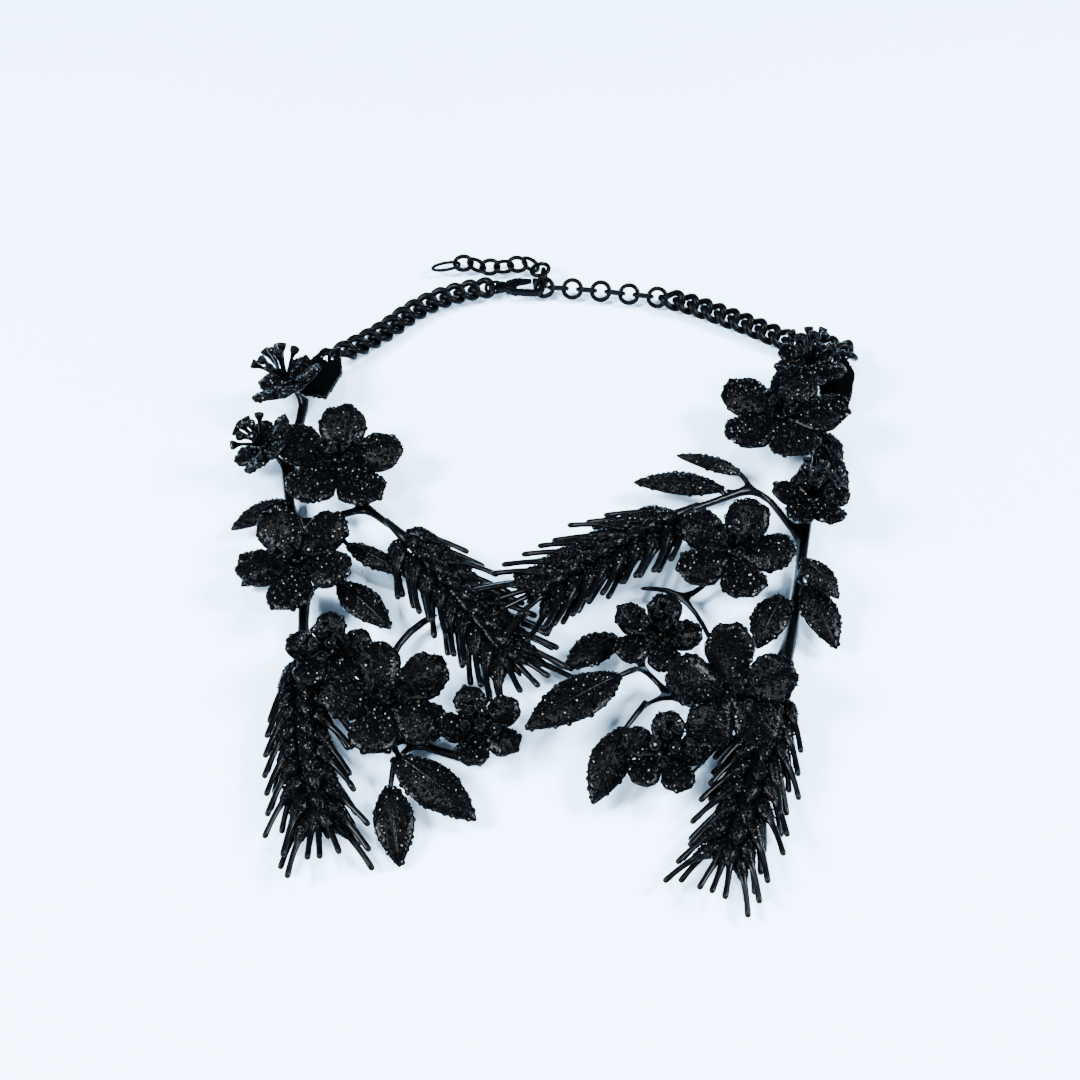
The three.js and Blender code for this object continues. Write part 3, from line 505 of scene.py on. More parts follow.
PETALS = 5
PETAL_COLUMNS = 16
WHORL_RINGS = 24
PETAL_NOTCH = 0.42
PETAL_LIFT = 0.04
PETAL_CUP = 0.13
PETAL_DOME = 0.07
PETAL_DROOP = 0.04
PETAL_ROUND = 0.38
PETAL_MIDDLE = 0.655
HALF_PETAL = math.pi / PETALS


def petal_outline(turn):
    """Reach of a round petal's edge at a turn from its middle, as a share of the flower's reach."""
    under_root = PETAL_ROUND ** 2 - (PETAL_MIDDLE * math.sin(turn)) ** 2
    if under_root > 0:
        return PETAL_MIDDLE * math.cos(turn) + math.sqrt(under_root)
    widest = math.asin(PETAL_ROUND / PETAL_MIDDLE)
    share = (abs(turn) - widest) / (HALF_PETAL - widest)
    return PETAL_MIDDLE * math.cos(widest) * (1 - share) + PETAL_NOTCH * share


def whorl_points(form, reach, thickness, chance):
    """A cup of round petals in one skin: under side from the hub out, rim, then the upper side in."""
    placed = np.zeros((len(form.points), 3))
    hub = HUB_HEIGHT * MM
    reaches = chance.uniform(0.94, 1.02, PETALS)
    lifts = chance.uniform(-0.04, 0.07, PETALS)
    ripples = chance.uniform(0, 2 * math.pi, PETALS)
    for k, (x, y, _) in enumerate(form.points):
        petal, spot = divmod((x + 1) / 2 * PETALS + 0.5, 1)
        petal = int(petal) % PETALS
        turn = HALF_PETAL * math.sin((spot - 0.5) * math.pi)
        angle = 2 * HALF_PETAL * petal + turn
        across = abs(turn) / HALF_PETAL
        along = (y + 1) / 2
        under = along < 0.5
        share = min(1.0, (along if under else 1 - along) * 2.16)
        own = 1 - across ** 4
        wave = 0.022 * share ** 3 * math.sin(turn * 19 + ripples[petal] * 3)
        out = share * petal_outline(turn) * (1 + (reaches[petal] - 1) * own * share + wave)
        dome = PETAL_DOME * math.sin(math.pi * share) * (1 - across ** 2)
        droop = PETAL_DROOP * share * across ** 2
        ripple = 0.02 * share ** 2 * math.sin(turn * 12 + ripples[petal]) * own
        height = hub + reach * (PETAL_LIFT * out + PETAL_CUP * out ** 2 + dome - droop + ripple
                                + lifts[petal] * own * share ** 2)
        rim = max(0.0, (share - 0.88) / 0.12)
        rounding = 1 - math.sqrt(max(0.0, 1 - rim ** 2))
        if under:
            height -= thickness * (1 - 0.5 * rounding)
            rise = min(1.0, max(0.0, (share - 0.2) / 0.42))
            height *= rise ** 0.8
        else:
            height -= thickness * 0.5 * rounding
        placed[k] = (math.cos(angle) * out * reach, math.sin(angle) * out * reach, height)
    return placed


def transformed(points, matrix):
    turned = np.array(matrix.to_3x3())
    return points @ turned.T + np.array(matrix.translation)


def make_petals(row, materials):
    sizes = bpy.context.scene.necklace_sizes
    heading = Vector((row["lean_x"], row["lean_y"], 1)).normalized()
    seat = frame_on(place(row["x"], row["y"], row["z"]), heading, row["turn"])
    form = sheet_form(PETALS * PETAL_COLUMNS, WHORL_RINGS)
    reach = row["reach"] * MM
    chance = np.random.default_rng(SEED + int(1000 * (1 + row["x"])))
    points = transformed(whorl_points(form, reach, sizes.petal_thickness, chance), seat)
    name = f"petals_{row['name']}_set"
    petals = closed(form.repeated(name, [points], smooth=True))
    dressed(petals, materials[0])
    axis, middle = np.array(heading), np.array(seat.translation)

    def keep(centres, normals):
        offset = centres - middle
        height = offset @ axis
        out = np.linalg.norm(offset - height[:, None] * axis, axis=1)
        return (normals @ axis > 0.45) & (out > reach * 0.17)

    seed = len(name) + int(row["turn"])
    petals = paved(petals, keep, sizes.stone_size, sizes.stone_pitch, seed, materials)
    return finished(petals, (), replaces=(f"petals_{row['name']}",))


# A stamen's rings: along it, share of the wire's radius, share of the cup's radius
STAMEN_RINGS = [
    (0.0, 0, 0), (0.001, 1, 0), (0.25, 0.95, 0), (0.5, 0.9, 0), (0.7, 1, 0), (0.8, 1.1, 0.1),
    (0.87, 0.5, 0.6), (0.92, 0, 0.95), (0.97, 0, 1.0), (0.995, 0, 0.97), (1.0, 0, 0.9),
    (0.995, 0, 0.82), (0.96, 0, 0.78), (0.955, 0, 0),
]
# Lean of the outer stamens from the middle one in degrees, and where the cup's floor lies along a stamen
STAMEN_SPLAY = 38
CUP_FLOOR = 0.955
# Half width and half height in mm of the disc that the stamens stand on
DISC_RADIUS = 2.2
DISC_RISE = 1.1


def make_stamens(row, materials):
    sizes = bpy.context.scene.necklace_sizes
    heading = Vector((row["lean_x"], row["lean_y"], 1)).normalized()
    top = place(row["x"], row["y"], row["z"]) + heading * ((HUB_HEIGHT + CLEARANCE + STAMEN_SEAT) * MM)
    seat = frame_on(top, heading, row["turn"])
    length, count = row["stamen_length"] * MM, row["stamens"]
    form = sheet_form(12, len(STAMEN_RINGS) - 1)
    wire, cup = sizes.stamen_wire / 2, sizes.stamen_cup / 2
    tubes, stones = [], []
    for i in range(count):
        round_turn = 2 * math.pi * i / (count - 1)
        splay = 0.05 if i == count - 1 else math.radians(STAMEN_SPLAY) * (0.55 if i % 2 else 1)
        outward = Vector((math.cos(round_turn), math.sin(round_turn), 0))
        lean = outward * math.sin(splay) + UP * math.cos(splay)
        foot = outward * (math.sin(splay) * 0.9 * MM) + UP * (0.5 * MM)

        def path(u, foot=foot, lean=lean, outward=outward):
            return foot + lean * (u * length) - outward * (0.05 * length * math.sin(math.pi * u))

        table = [(u, wire * of_wire + cup * of_cup) for u, of_wire, of_cup in STAMEN_RINGS]
        tubes.append(transformed(rolled(form, rings_along(path, table)), seat))
        facing = (path(1.0) - path(0.95)).normalized()
        stones.append((seat @ path(CUP_FLOOR), seat.to_3x3() @ facing))
    wires = closed(form.repeated("wires", tubes, smooth=True))
    dressed(wires, materials[0])
    disc = added(bpy.ops.mesh.primitive_uv_sphere_add, "disc", segments=20, ring_count=10, radius=1)
    shape = Matrix.Diagonal((DISC_RADIUS * MM, DISC_RADIUS * MM, DISC_RISE * MM, 1))
    disc.data.transform(seat @ Matrix.Translation((0, 0, 0.1 * MM)) @ shape)
    smoothed(dressed(disc, materials[0]))
    chance = np.random.default_rng(SEED + count)
    points = np.array([stone[0] for stone in stones])
    normals = np.array([stone[1] for stone in stones])
    gems = set_in("gems", STONE, points, normals, np.full(len(stones), cup * 0.66), -0.15, 0.1, chance)
    dressed(gems, *materials)
    name = f"stamens_{row['name']}_cups"
    whole = joined(name, [wires, disc, gems])
    return finished(whole, (), replaces=(f"stamens_{row['name']}",))


# Ears of wheat

# A spikelet's rings: along it, share of the pod's radius, share of the awn's radius
SPIKELET_RINGS = [
    (0.0, 0, 0), (0.004, 0.3, 0), (0.04, 0.5, 0), (0.09, 0.76, 0), (0.15, 0.96, 0), (0.22, 1.0, 0),
    (0.29, 0.88, 0), (0.36, 0.6, 0.2), (0.42, 0.3, 0.7), (0.47, 0.0, 1.08), (0.56, 0, 1.02),
    (0.68, 0, 0.95), (0.8, 0, 0.92),
    (0.91, 0, 1.0), (0.96, 0, 0.98), (0.988, 0, 0.66), (1.0, 0, 0),
]
# Rings of a spikelet that belong to its pod, and where the pod ends along it
POD_RINGS = 9
POD_END = 0.47
# Core of an ear, as a share of its named width
CORE_GIRTH = 0.3
# The stalk that carries the ear: along the ear's full length, and its radius in mm
STALK_RINGS = [(-0.1, 0), (-0.097, 0.9), (-0.06, 1.1), (0.0, 1.4), (0.08, 1.9), (0.15, 0)]


def make_ear(row, materials):
    sizes = bpy.context.scene.necklace_sizes
    base, tip = place(row["x0"], row["y0"], row["z0"]), place(row["x1"], row["y1"], row["z1"])
    seat = frame_along(base, tip)
    length = (tip - base).length
    size = length / (EAR_LENGTH * MM)
    around, along = 10, len(SPIKELET_RINGS) - 1
    form = sheet_form(around, along)
    pod, awn = sizes.pod_girth / 2 * size, sizes.awn_wire / 2 * size

    def spine(u):
        return Vector((length * u, length * row["bow"] * math.sin(math.pi * u), 0))

    def heading(degrees, rise):
        side = math.radians(degrees)
        return Vector((math.cos(side) * math.cos(rise), math.sin(side) * math.cos(rise), math.sin(rise)))

    chance = np.random.default_rng(SEED + int(length / MM))
    tubes = []
    ranks = rows(RANK_COLUMNS, RANKS)
    spots = [((i + rank["offset"]) / row["pairs"], rank) for i in range(row["pairs"]) for rank in ranks]
    for angle in TIP_ANGLES:
        spots.append((TIP_START, dict(ranks[0], side_start=angle, side_end=angle * 0.5,
                                      rise=TIP_RISE, out=0, reach=TIP_REACH)))
    for share, rank in spots:
        start = spine(EAR_FIRST + share * EAR_SPAN)
        start += Vector((0, rank["out"], rank["up"])) * (EAR_CORE * size * MM)
        rise = math.radians(rank["rise"] + chance.normal(0, 2.5))
        sway = chance.normal(0, 3)
        reach = SPIKELET_LENGTH * size * MM * rank["reach"] * chance.uniform(0.92, 1.0)
        bend = start + heading(rank["side_start"] + sway, rise) * (reach / 2)
        end = bend + heading(rank["side_end"] + sway, rise) * (reach / 2)

        def path(u, start=start, bend=bend, end=end):
            return start * (1 - u) ** 2 + bend * (2 * u * (1 - u)) + end * u ** 2

        table = [(u if rank["awn"] else min(u, POD_END), pod * of_pod + awn * of_awn * rank["awn"])
                 for u, of_pod, of_awn in SPIKELET_RINGS]
        tubes.append(transformed(rolled(form, rings_along(path, table), squash=0.8), seat))
    pods = form.repeated("pods", tubes, smooth=True)
    dressed(pods, materials[0], materials[2])
    mesh = pods.data
    centres = np.zeros(len(mesh.polygons) * 3)
    mesh.polygons.foreach_get("center", centres)
    corners = form.corners.reshape(-1, 4)
    middles = form.points[corners][:, :, 1].mean(axis=1)
    ring_of_face = np.round((middles + 1) / 2 * along - 0.5).astype(int)
    bare_flags = np.tile(ring_of_face >= POD_RINGS - 1, len(tubes)).astype(np.int32)
    mesh.polygons.foreach_set("material_index", bare_flags)
    tree = tree_of(centres.reshape(-1, 3))
    closed(pods)
    core = added(bpy.ops.mesh.primitive_uv_sphere_add, "core", segments=20, ring_count=14, radius=1)
    for vertex in core.data.vertices:
        u = (vertex.co.z + 1) / 2
        girth = EAR_CORE * CORE_GIRTH * size * MM
        vertex.co = seat @ (spine(u) + Vector((0, vertex.co.x * girth, vertex.co.y * girth * EAR_FLAT)))
    smoothed(dressed(core, materials[0]))
    stalk_form = sheet_form(10, len(STALK_RINGS) - 1)
    rings = rings_along(spine, [(u, radius * size * MM) for u, radius in STALK_RINGS])
    tube = transformed(rolled(stalk_form, rings), seat)
    stalk = dressed(closed(stalk_form.repeated("stalk", [tube], smooth=True)), materials[2])

    def keep(centres, normals):
        on_pod = np.array([bare_flags[tree.find(centre)[1]] == 0 for centre in centres], bool)
        return (normals[:, 2] > -0.15) & on_pod

    seed = int(length / MM) + row["pairs"]
    name = f"ear_{row['name']}_set"
    pods.name = name
    pods = paved(pods, keep, sizes.ear_stone_size, sizes.ear_stone_size * 1.2, seed, materials)
    whole = joined(name, [pods, core, stalk])
    return finished(whole, (), replaces=(f"ear_{row['name']}",))


# Leaves

# A leaf's stalk ends at the stem's points past the first distance from its base and within one of
# the next, in mm
LEAF_STALK_NEAR = 3
LEAF_STALK_FAR = (7, 9, 12, 16)
# A leaf's stalk: along it, and its radius in mm
LEAF_STALK_RINGS = [(0.0, 0), (0.02, 0.5), (0.25, 0.75), (0.5, 0.8), (0.75, 0.9), (0.98, 1.0), (1.0, 0)]
# Points along the midrib, pairs of veins and points along a vein
MIDRIB_POINTS = 15
VEIN_PAIRS = 5
VEIN_POINTS = 7


def leaf_ends(piece):
    """Base and tip of a leaf: the base is the end nearer to a stem."""
    points = [vertex.co.copy() for vertex in piece.data.vertices]
    low = max(points, key=lambda p: (p - points[0]).length)
    far = max(points, key=lambda p: (p - low).length)
    tree = stem_tree()
    if tree.find(low)[2] < tree.find(far)[2]:
        return low, far
    return far, low


def stem_tree():
    """A search tree of both stems' points."""
    stems = [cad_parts[f"stems_{side}"].data for side in ("left", "right")]
    return tree_of([vertex.co for stem in stems for vertex in stem.vertices])


def on_top(piece, point):
    """The point of a piece's upper surface straight above or below a point, or None."""
    hit, where, _, _ = piece.ray_cast(Vector((point.x, point.y, 1)), Vector((0, 0, -1)))
    return where if hit else None


def ridge(piece, points, width, name, material):
    """A tapering half-sunk wire over a piece through points."""
    seats = [on_top(piece, point) for point in points]
    seats = [seat for seat in seats if seat is not None]
    if len(seats) < 3:
        return None
    form = sheet_form(8, len(seats) - 1)
    rings = []
    for i, seat in enumerate(seats):
        u = i / (len(seats) - 1)
        heading = (seats[min(i + 1, len(seats) - 1)] - seats[max(i - 1, 0)]).normalized()
        radius = 0 if i in (0, len(seats) - 1) else width / 2 * (1.05 - 0.6 * u)
        rings.append((seat, heading, radius))
    wire = closed(form.repeated(name, [rolled(form, rings, squash=0.7)], smooth=True))
    return dressed(wire, material)


def leaf_stalk(start, base, material):
    """The stalk from inside a leaf, over its base, to the middle of the stem that carries it."""
    tree = stem_tree()
    for far in LEAF_STALK_FAR:
        carried = [point for point, _, gap in tree.find_range(base, far * MM) if gap > LEAF_STALK_NEAR * MM]
        if carried:
            break
    end = sum(carried, Vector()) / len(carried)
    form = sheet_form(8, len(LEAF_STALK_RINGS) - 1)

    def path(u):
        return start * (1 - u) ** 2 + base * (2 * u * (1 - u)) + end * u ** 2

    rings = rings_along(path, [(u, radius * MM) for u, radius in LEAF_STALK_RINGS])
    stalk = closed(form.repeated("stalk", [rolled(form, rings)], smooth=True))
    return dressed(stalk, material)


def make_leaf(name, materials):
    sizes = bpy.context.scene.necklace_sizes
    leaf = copied(f"leaf_{name}", f"leaf_{name}_set")
    modified(leaf, "SUBSURF", levels=3, render_levels=3)
    smoothed(leaf, 60)
    base, tip = leaf_ends(leaf)
    forward = tip - base
    reach = forward.length
    forward.normalize()
    side = UP.cross(forward).normalized()
    shares = [0.03 + 0.92 * k / (MIDRIB_POINTS - 1) for k in range(MIDRIB_POINTS)]
    middle = [base + forward * (reach * share) for share in shares]
    wires = [ridge(leaf, middle, sizes.midrib, "midrib", materials[0])]
    for k in range(1, VEIN_PAIRS + 1):
        root = base + forward * (reach * (0.1 + 0.14 * k))
        for sign in (-1, 1):
            spread = (forward * 0.75 + side * (sign * 0.66)) * (reach * 0.2)
            points = [root + spread * (j / (VEIN_POINTS - 1)) for j in range(VEIN_POINTS)]
            wires.append(ridge(leaf, points, sizes.midrib * 0.5, "vein", materials[0]))
    wires.append(leaf_stalk(base + forward * (reach * 0.1), base, materials[2]))
    wires = [wire for wire in wires if wire is not None]
    start, line = np.array(base), np.array(side)

    def keep(centres, normals):
        off = np.abs((centres - start) @ line)
        return (normals[:, 2] > 0.35) & (off > sizes.midrib * 0.65)

    dressed(leaf, materials[0])
    leaf = paved(leaf, keep, sizes.stone_size, sizes.stone_pitch, len(name) * 3, materials)
    whole = joined(leaf.name, [leaf] + wires)
    return finished(whole, (), replaces=(f"leaf_{name}",))


# Chain

class Route:
    """A centripetal curve through places, measured along its length in metres."""

    def __init__(self, points, steps=200):
        self.points = points
        self.line = [self.at(k / steps) for k in range(steps + 1)]
        self.lengths = [0.0]
        for a, b in zip(self.line, self.line[1:]):
            self.lengths.append(self.lengths[-1] + (b - a).length)
        self.length = self.lengths[-1]

    def at(self, t):
        points, count = self.points, len(self.points)
        spot = t * (count - 1)
        i = min(int(spot), count - 2)
        w = spot - i
        before = points[i - 1] if i > 0 else points[0] * 2 - points[1]
        after = points[i + 2] if i + 2 < count else points[-1] * 2 - points[-2]
        p0, p1, p2, p3 = before, points[i], points[i + 1], after
        d0, d1, d2 = ((b - a).length_squared ** 0.25 for a, b in ((p0, p1), (p1, p2), (p2, p3)))
        d1 = d1 or 1.0
        d0, d2 = d0 or d1, d2 or d1
        m1 = ((p1 - p0) / d0 - (p2 - p0) / (d0 + d1) + (p2 - p1) / d1) * d1
        m2 = ((p2 - p1) / d1 - (p3 - p1) / (d1 + d2) + (p3 - p2) / d2) * d1
        return (p1 * (2 * w ** 3 - 3 * w ** 2 + 1) + m1 * (w ** 3 - 2 * w ** 2 + w)
                + p2 * (-2 * w ** 3 + 3 * w ** 2) + m2 * (w ** 3 - w ** 2))

    def along(self, distance):
        """The point at a distance along the curve."""
        k = int(np.searchsorted(self.lengths, distance)) - 1
        k = min(max(k, 0), len(self.line) - 2)
        part = (distance - self.lengths[k]) / (self.lengths[k + 1] - self.lengths[k])
        return self.at((k + part) / (len(self.line) - 1))

    def frame(self, distance):
        here = self.along(distance)
        ahead = self.along(distance + 0.00005) - self.along(distance - 0.00005)
        return frame_along(here, here + ahead)


LINK_ROUND = 28
LINK_SIDES = 12
FORM_RADIUS = 10


def link_form():
    ring = added(bpy.ops.mesh.primitive_torus_add, "link", major_segments=LINK_ROUND,
                 minor_segments=LINK_SIDES, major_radius=FORM_RADIUS, minor_radius=1, location=(0, 0, 0))
    return Form(ring)


def link_points(form, half, half_width, wire, roll, twist, flat=1.0):
    """Points of a link, in mm: flat cuts the wire's outer faces level, as on a filed curb link."""
    placed = np.zeros((len(form.points), 3))
    for k, (x, y, z) in enumerate(form.points):
        angle = math.atan2(y, x)
        out = (math.hypot(x, y) - FORM_RADIUS) * wire / 2
        c, s = math.cos(angle), math.sin(angle)
        lean = roll + twist * c
        facing = Vector((half_width * c, half * s)).normalized()
        across = half_width * s + out * facing.y
        lift = z * wire / 2
        turned = (half * c + out * facing.x, across * math.cos(lean) - lift * math.sin(lean),
                  across * math.sin(lean) + lift * math.cos(lean))
        level = half_width * flat
        placed[k] = (turned[0], turned[1], max(-level, min(level, turned[2])))
    return placed * MM


def bite(wire_a, wire_b):
    return (wire_a + wire_b) / 2 - LINK_BITE


def curb_row(form, route, start, end, count):
    """Curb links between two distances in mm."""
    span = end - start - CURB_WIRE + LINK_BITE
    pitch = span / count
    half = (pitch + CURB_WIRE - LINK_BITE) / 2
    points = link_points(form, half, (CURB_WIDTH - CURB_WIRE) / 2, CURB_WIRE, 0, math.pi / 4, flat=0.72)
    return [transformed(points, route.frame((start + half + i * pitch) * MM)) for i in range(count)]


HALF_RING = (RING_PITCH + RING_WIRE - LINK_BITE) / 2


def ring_row(form, route, start, count, rolls):
    """Extender rings from a distance in mm, rolled by turns."""
    shapes = [link_points(form, HALF_RING, HALF_RING, RING_WIRE, roll, 0) for roll in rolls]
    return [transformed(shapes[i % 2], route.frame((start + i * RING_PITCH) * MM)) for i in range(count)]


def make_chain(materials):
    route = Route([place(*row) for row in CHAIN_ROUTE])
    length = route.length / MM
    form = link_form()
    half_jump = (JUMP_RING - JUMP_WIRE) / 2
    jump = link_points(form, half_jump, half_jump, JUMP_WIRE, math.pi / 2, 0)
    clasp_eye = length * CLASP_AT
    left_end = clasp_eye - 2 * half_jump + (CURB_WIRE + JUMP_WIRE) / 2 + CLEARANCE
    left = curb_row(form, route, 2 * half_jump - bite(JUMP_WIRE, CURB_WIRE), left_end, LEFT_CURB_LINKS)
    left.append(transformed(jump, route.frame(half_jump * MM)))
    ring = [transformed(jump, route.frame((clasp_eye - half_jump) * MM))]
    nose_radius = CLASP_WIDTH / 2
    nose_inside = nose_radius - CLASP_WALL
    nose_x = CLASP_LENGTH - CLASP_EYE / 2 - 0.9 - nose_radius
    ring_inside = HALF_RING - RING_WIRE / 2 - CLEARANCE
    corner = CLASP_THICKNESS / 2 / math.sin(math.pi / 4)
    ring_x = nose_x + nose_inside + math.sqrt(ring_inside ** 2 - corner ** 2)
    rings_start = clasp_eye + ring_x
    right = ring_row(form, route, rings_start, EXTENDER_RINGS, (math.pi / 4, -math.pi / 4))
    rings_end = rings_start + (EXTENDER_RINGS - 1) * RING_PITCH + HALF_RING
    right += curb_row(form, route, rings_end - bite(RING_WIRE, CURB_WIRE),
                      length - 2 * half_jump + bite(JUMP_WIRE, CURB_WIRE), RIGHT_CURB_LINKS)
    right.append(transformed(jump, route.frame((length - half_jump) * MM)))
    ring_point = route.along(rings_start * MM)
    first = ring_point + Vector((0, math.cos(math.pi / 4), math.sin(math.pi / 4))) * (
        (HALF_RING - RING_WIRE - CLEARANCE) * MM)
    tail_route = Route([first] + [place(*row) for row in TAIL_ROUTE])
    tail = ring_row(form, tail_route, HALF_RING, TAIL_RINGS, (math.radians(80), math.radians(-10)))
    half_charm = (CHARM_LENGTH - CHARM_WIRE) / 2
    tail_end = (TAIL_RINGS - 1) * RING_PITCH + 2 * HALF_RING
    charm_at = tail_end - (RING_WIRE + CHARM_WIRE) / 2 - CLEARANCE + half_charm
    charm = link_points(form, half_charm, (CHARM_WIDTH - CHARM_WIRE) / 2, CHARM_WIRE, math.radians(10), 0)
    groups = {"chain_left": left, "chain_right": right, "chain_tail": tail, "clasp_ring": ring,
              "charm_oval": [transformed(charm, tail_route.frame(charm_at * MM))]}
    for node, links in groups.items():
        piece = smoothed(form.repeated(f"{node}_links", links), 50)
        finished(piece, materials, replaces=(node,))


def make_bevelled(node, materials, width, body="necklace"):
    """A CAD node with its edges rounded."""
    piece = copied(node, f"{node}_rounded")
    modified(piece, "BEVEL", width=width, segments=3, limit_method="ANGLE", angle_limit=math.radians(30))
    smoothed(piece, 35)
    return finished(piece, materials, body=body, replaces=(node,))


def make_stems(side, materials):
    """The forked stems, with soft soldered joints."""
    piece = copied(f"stems_{side}", f"stems_{side}_soldered")
    modified(piece, "SUBSURF", levels=1, render_levels=1)
    modified(piece, "REMESH", mode="VOXEL", voxel_size=0.5 * MM)
    modified(piece, "SMOOTH", factor=0.5, iterations=4)
    smoothed(piece, 180)
    return finished(piece, materials, replaces=(f"stems_{side}",))


def make_plate(side, materials):
    """An end plate: a smooth face inside a rim of small stones."""
    piece = copied(f"end_plate_{side}", f"end_plate_{side}_rim")
    modified(piece, "BEVEL", width=0.3 * MM, segments=3, limit_method="ANGLE", angle_limit=math.radians(30))
    smoothed(piece, 35)
    dressed(piece, materials[0])

    def keep(centres, normals):
        return np.abs(normals[:, 2]) < 0.5

    sizes = bpy.context.scene.necklace_sizes
    piece = paved(piece, keep, sizes.ear_stone_size, sizes.ear_stone_size * 1.1, 5, materials)
    return finished(piece, (), replaces=(f"end_plate_{side}",))


# Materials

class Value:
    """A shader socket that takes part in Python expressions."""

    def __init__(self, shader, socket):
        self.shader = shader
        self.socket = socket

    def _with(self, operation, first, second):
        return self.shader.node("ShaderNodeMath", {"operation": operation}, {0: first, 1: second})

    def __add__(self, other):
        return self._with("ADD", self, other)

    __radd__ = __add__

    def __mul__(self, other):
        return self._with("MULTIPLY", self, other)

    __rmul__ = __mul__

    def __sub__(self, other):
        return self._with("SUBTRACT", self, other)

    def __rsub__(self, other):
        return self._with("SUBTRACT", other, self)


class Shader:
    """A material and its nodes."""

    def __init__(self, name):
        self.material = bpy.data.materials.new(name)
        self.material.use_nodes = True
        self.tree = self.material.node_tree
        self.surface = self.tree.nodes["Principled BSDF"]
        self.place = self.node("ShaderNodeTexCoord", {}, {}, output="Object")

    def node(self, kind, settings, inputs, output=0):
        made = self.tree.nodes.new(kind)
        for key, value in settings.items():
            setattr(made, key, value)
        for key, value in inputs.items():
            self.put(made.inputs[key], value)
        return Value(self, made.outputs[output])

    def put(self, socket, value):
        if isinstance(value, Value):
            self.tree.links.new(value.socket, socket)
        else:
            socket.default_value = value

    def noise(self, per_mm, detail=3.0):
        return self.node("ShaderNodeTexNoise", {},
                         {"Vector": self.place, "Scale": per_mm / MM, "Detail": detail})

    def mixed(self, share, dark, light):
        made = self.tree.nodes.new("ShaderNodeMix")
        made.data_type = "RGBA"
        self.put(made.inputs["Factor"], share)
        self.put(made.inputs[6], dark if isinstance(dark, Value) else (*dark, 1))
        self.put(made.inputs[7], light if isinstance(light, Value) else (*light, 1))
        return Value(self, made.outputs[2])

    def bump(self, height, strength, distance):
        return self.node("ShaderNodeBump", {}, {"Strength": strength, "Distance": distance, "Height": height})

    def finish(self, **sockets):
        for key, value in sockets.items():
            if key == "Base_Color" and not isinstance(value, Value):
                value = (*value, 1)
            self.put(self.surface.inputs[key.replace("_", " ")], value)
        return self.material


def lighter(colour, by):
    return tuple(min(1.0, channel * by) for channel in colour)


# Black paints: colour, noise per mm, darkest and lightest share of the colour, roughness and what
# noise adds to it, specular level, and a bump's noise per mm, strength and depth in mm
PAINT_COLUMNS = ("name", "colour", "cloud", "dark", "light", "rough", "rough_cloud", "specular",
                 "grit", "strength", "depth")
PAINTS = [
    ("pave_metal", "metal", 0.6, 0.5, 2.4, 0.1, 0.24, 0.075, 1.4, 0.8, 0.2),
    ("smooth_metal", "metal", 0.35, 1, 1.9, 0.18, 0.16, 0.1, 2.2, 0.12, 0.05),
    ("chain_metal", "chain", 0.5, 1, 1.8, 0.2, 0.14, 0.05, 0, 0, 0),
    ("plate_gloss", "metal", 0.2, 0.5, 1.1, 0.1, 0.1, 0.12, 0, 0, 0),
]


def painted(row):
    shade = getattr(bpy.context.scene.necklace_colours, row["colour"])
    shader = Shader(row["name"])
    cloud = shader.noise(row["cloud"])
    if row["grit"]:
        grit = shader.noise(row["grit"], 2.0)
        shader.finish(Normal=shader.bump(grit, row["strength"], row["depth"] * MM))
    return shader.finish(
        Base_Color=shader.mixed(cloud, lighter(shade, row["dark"]), lighter(shade, row["light"])),
        Roughness=row["rough"] + cloud * row["rough_cloud"], Metallic=0.0, IOR=1.3,
        Specular_IOR_Level=row["specular"])


def faceted_stone():
    colours = bpy.context.scene.necklace_colours
    shader = Shader("faceted_stone")
    cells = shader.node("ShaderNodeTexVoronoi", {}, {"Vector": shader.place, "Scale": 0.75 / MM},
                        output="Distance")
    cloud = shader.noise(0.9, 1.0)
    share = cells * 0.7 + cloud * 0.5 - 0.25
    return shader.finish(
        Base_Color=shader.mixed(share, tuple(colours.stone_dark), tuple(colours.stone_light)),
        Roughness=0.05 + cloud * 0.16, Metallic=0.0, IOR=1.4, Specular_IOR_Level=0.1)


def table_top():
    colours = bpy.context.scene.necklace_colours
    shader = Shader("table_top")
    cloud = shader.noise(0.004)
    return shader.finish(
        Base_Color=shader.mixed(cloud, lighter(colours.table, 0.97), lighter(colours.table, 1.03)),
        Roughness=0.55 + cloud * 0.1)


MATERIALS = {}
STONE = None
GRAIN = None


def finishes():
    """The materials, made once."""
    if not MATERIALS:
        for row in rows(PAINT_COLUMNS, PAINTS):
            MATERIALS[row["name"]] = painted(row)
        for make in (faceted_stone, table_top):
            MATERIALS[make.__name__] = make()
    return MATERIALS


def pave_set():
    made = finishes()
    return made["pave_metal"], made["faceted_stone"], made["smooth_metal"]


# Operators

class NECKLACE_OT_stones(bpy.types.Operator):
    """Models the faceted stone and the metal grain that the pavé repeats"""

    bl_idname = "necklace.stones"
    bl_label = "Stone and Grain"

    def execute(self, context):
        global STONE, GRAIN
        STONE = stone_form()
        GRAIN = grain_form()
        return {"FINISHED"}


class NECKLACE_OT_petals(bpy.types.Operator):
    """Builds the cups of petals of all the flowers"""

    bl_idname = "necklace.petals"
    bl_label = "Petals"

    def execute(self, context):
        for row in rows(FLOWER_COLUMNS, FLOWERS):
            make_petals(row, pave_set()[:2])
        return {"FINISHED"}


class NECKLACE_OT_stamens(bpy.types.Operator):
    """Builds the stamens with a stone in each cup"""

    bl_idname = "necklace.stamens"
    bl_label = "Stamens"

    def execute(self, context):
        made = finishes()
        for row in rows(FLOWER_COLUMNS, FLOWERS):
            make_stamens(row, (made["smooth_metal"], made["faceted_stone"]))
        return {"FINISHED"}


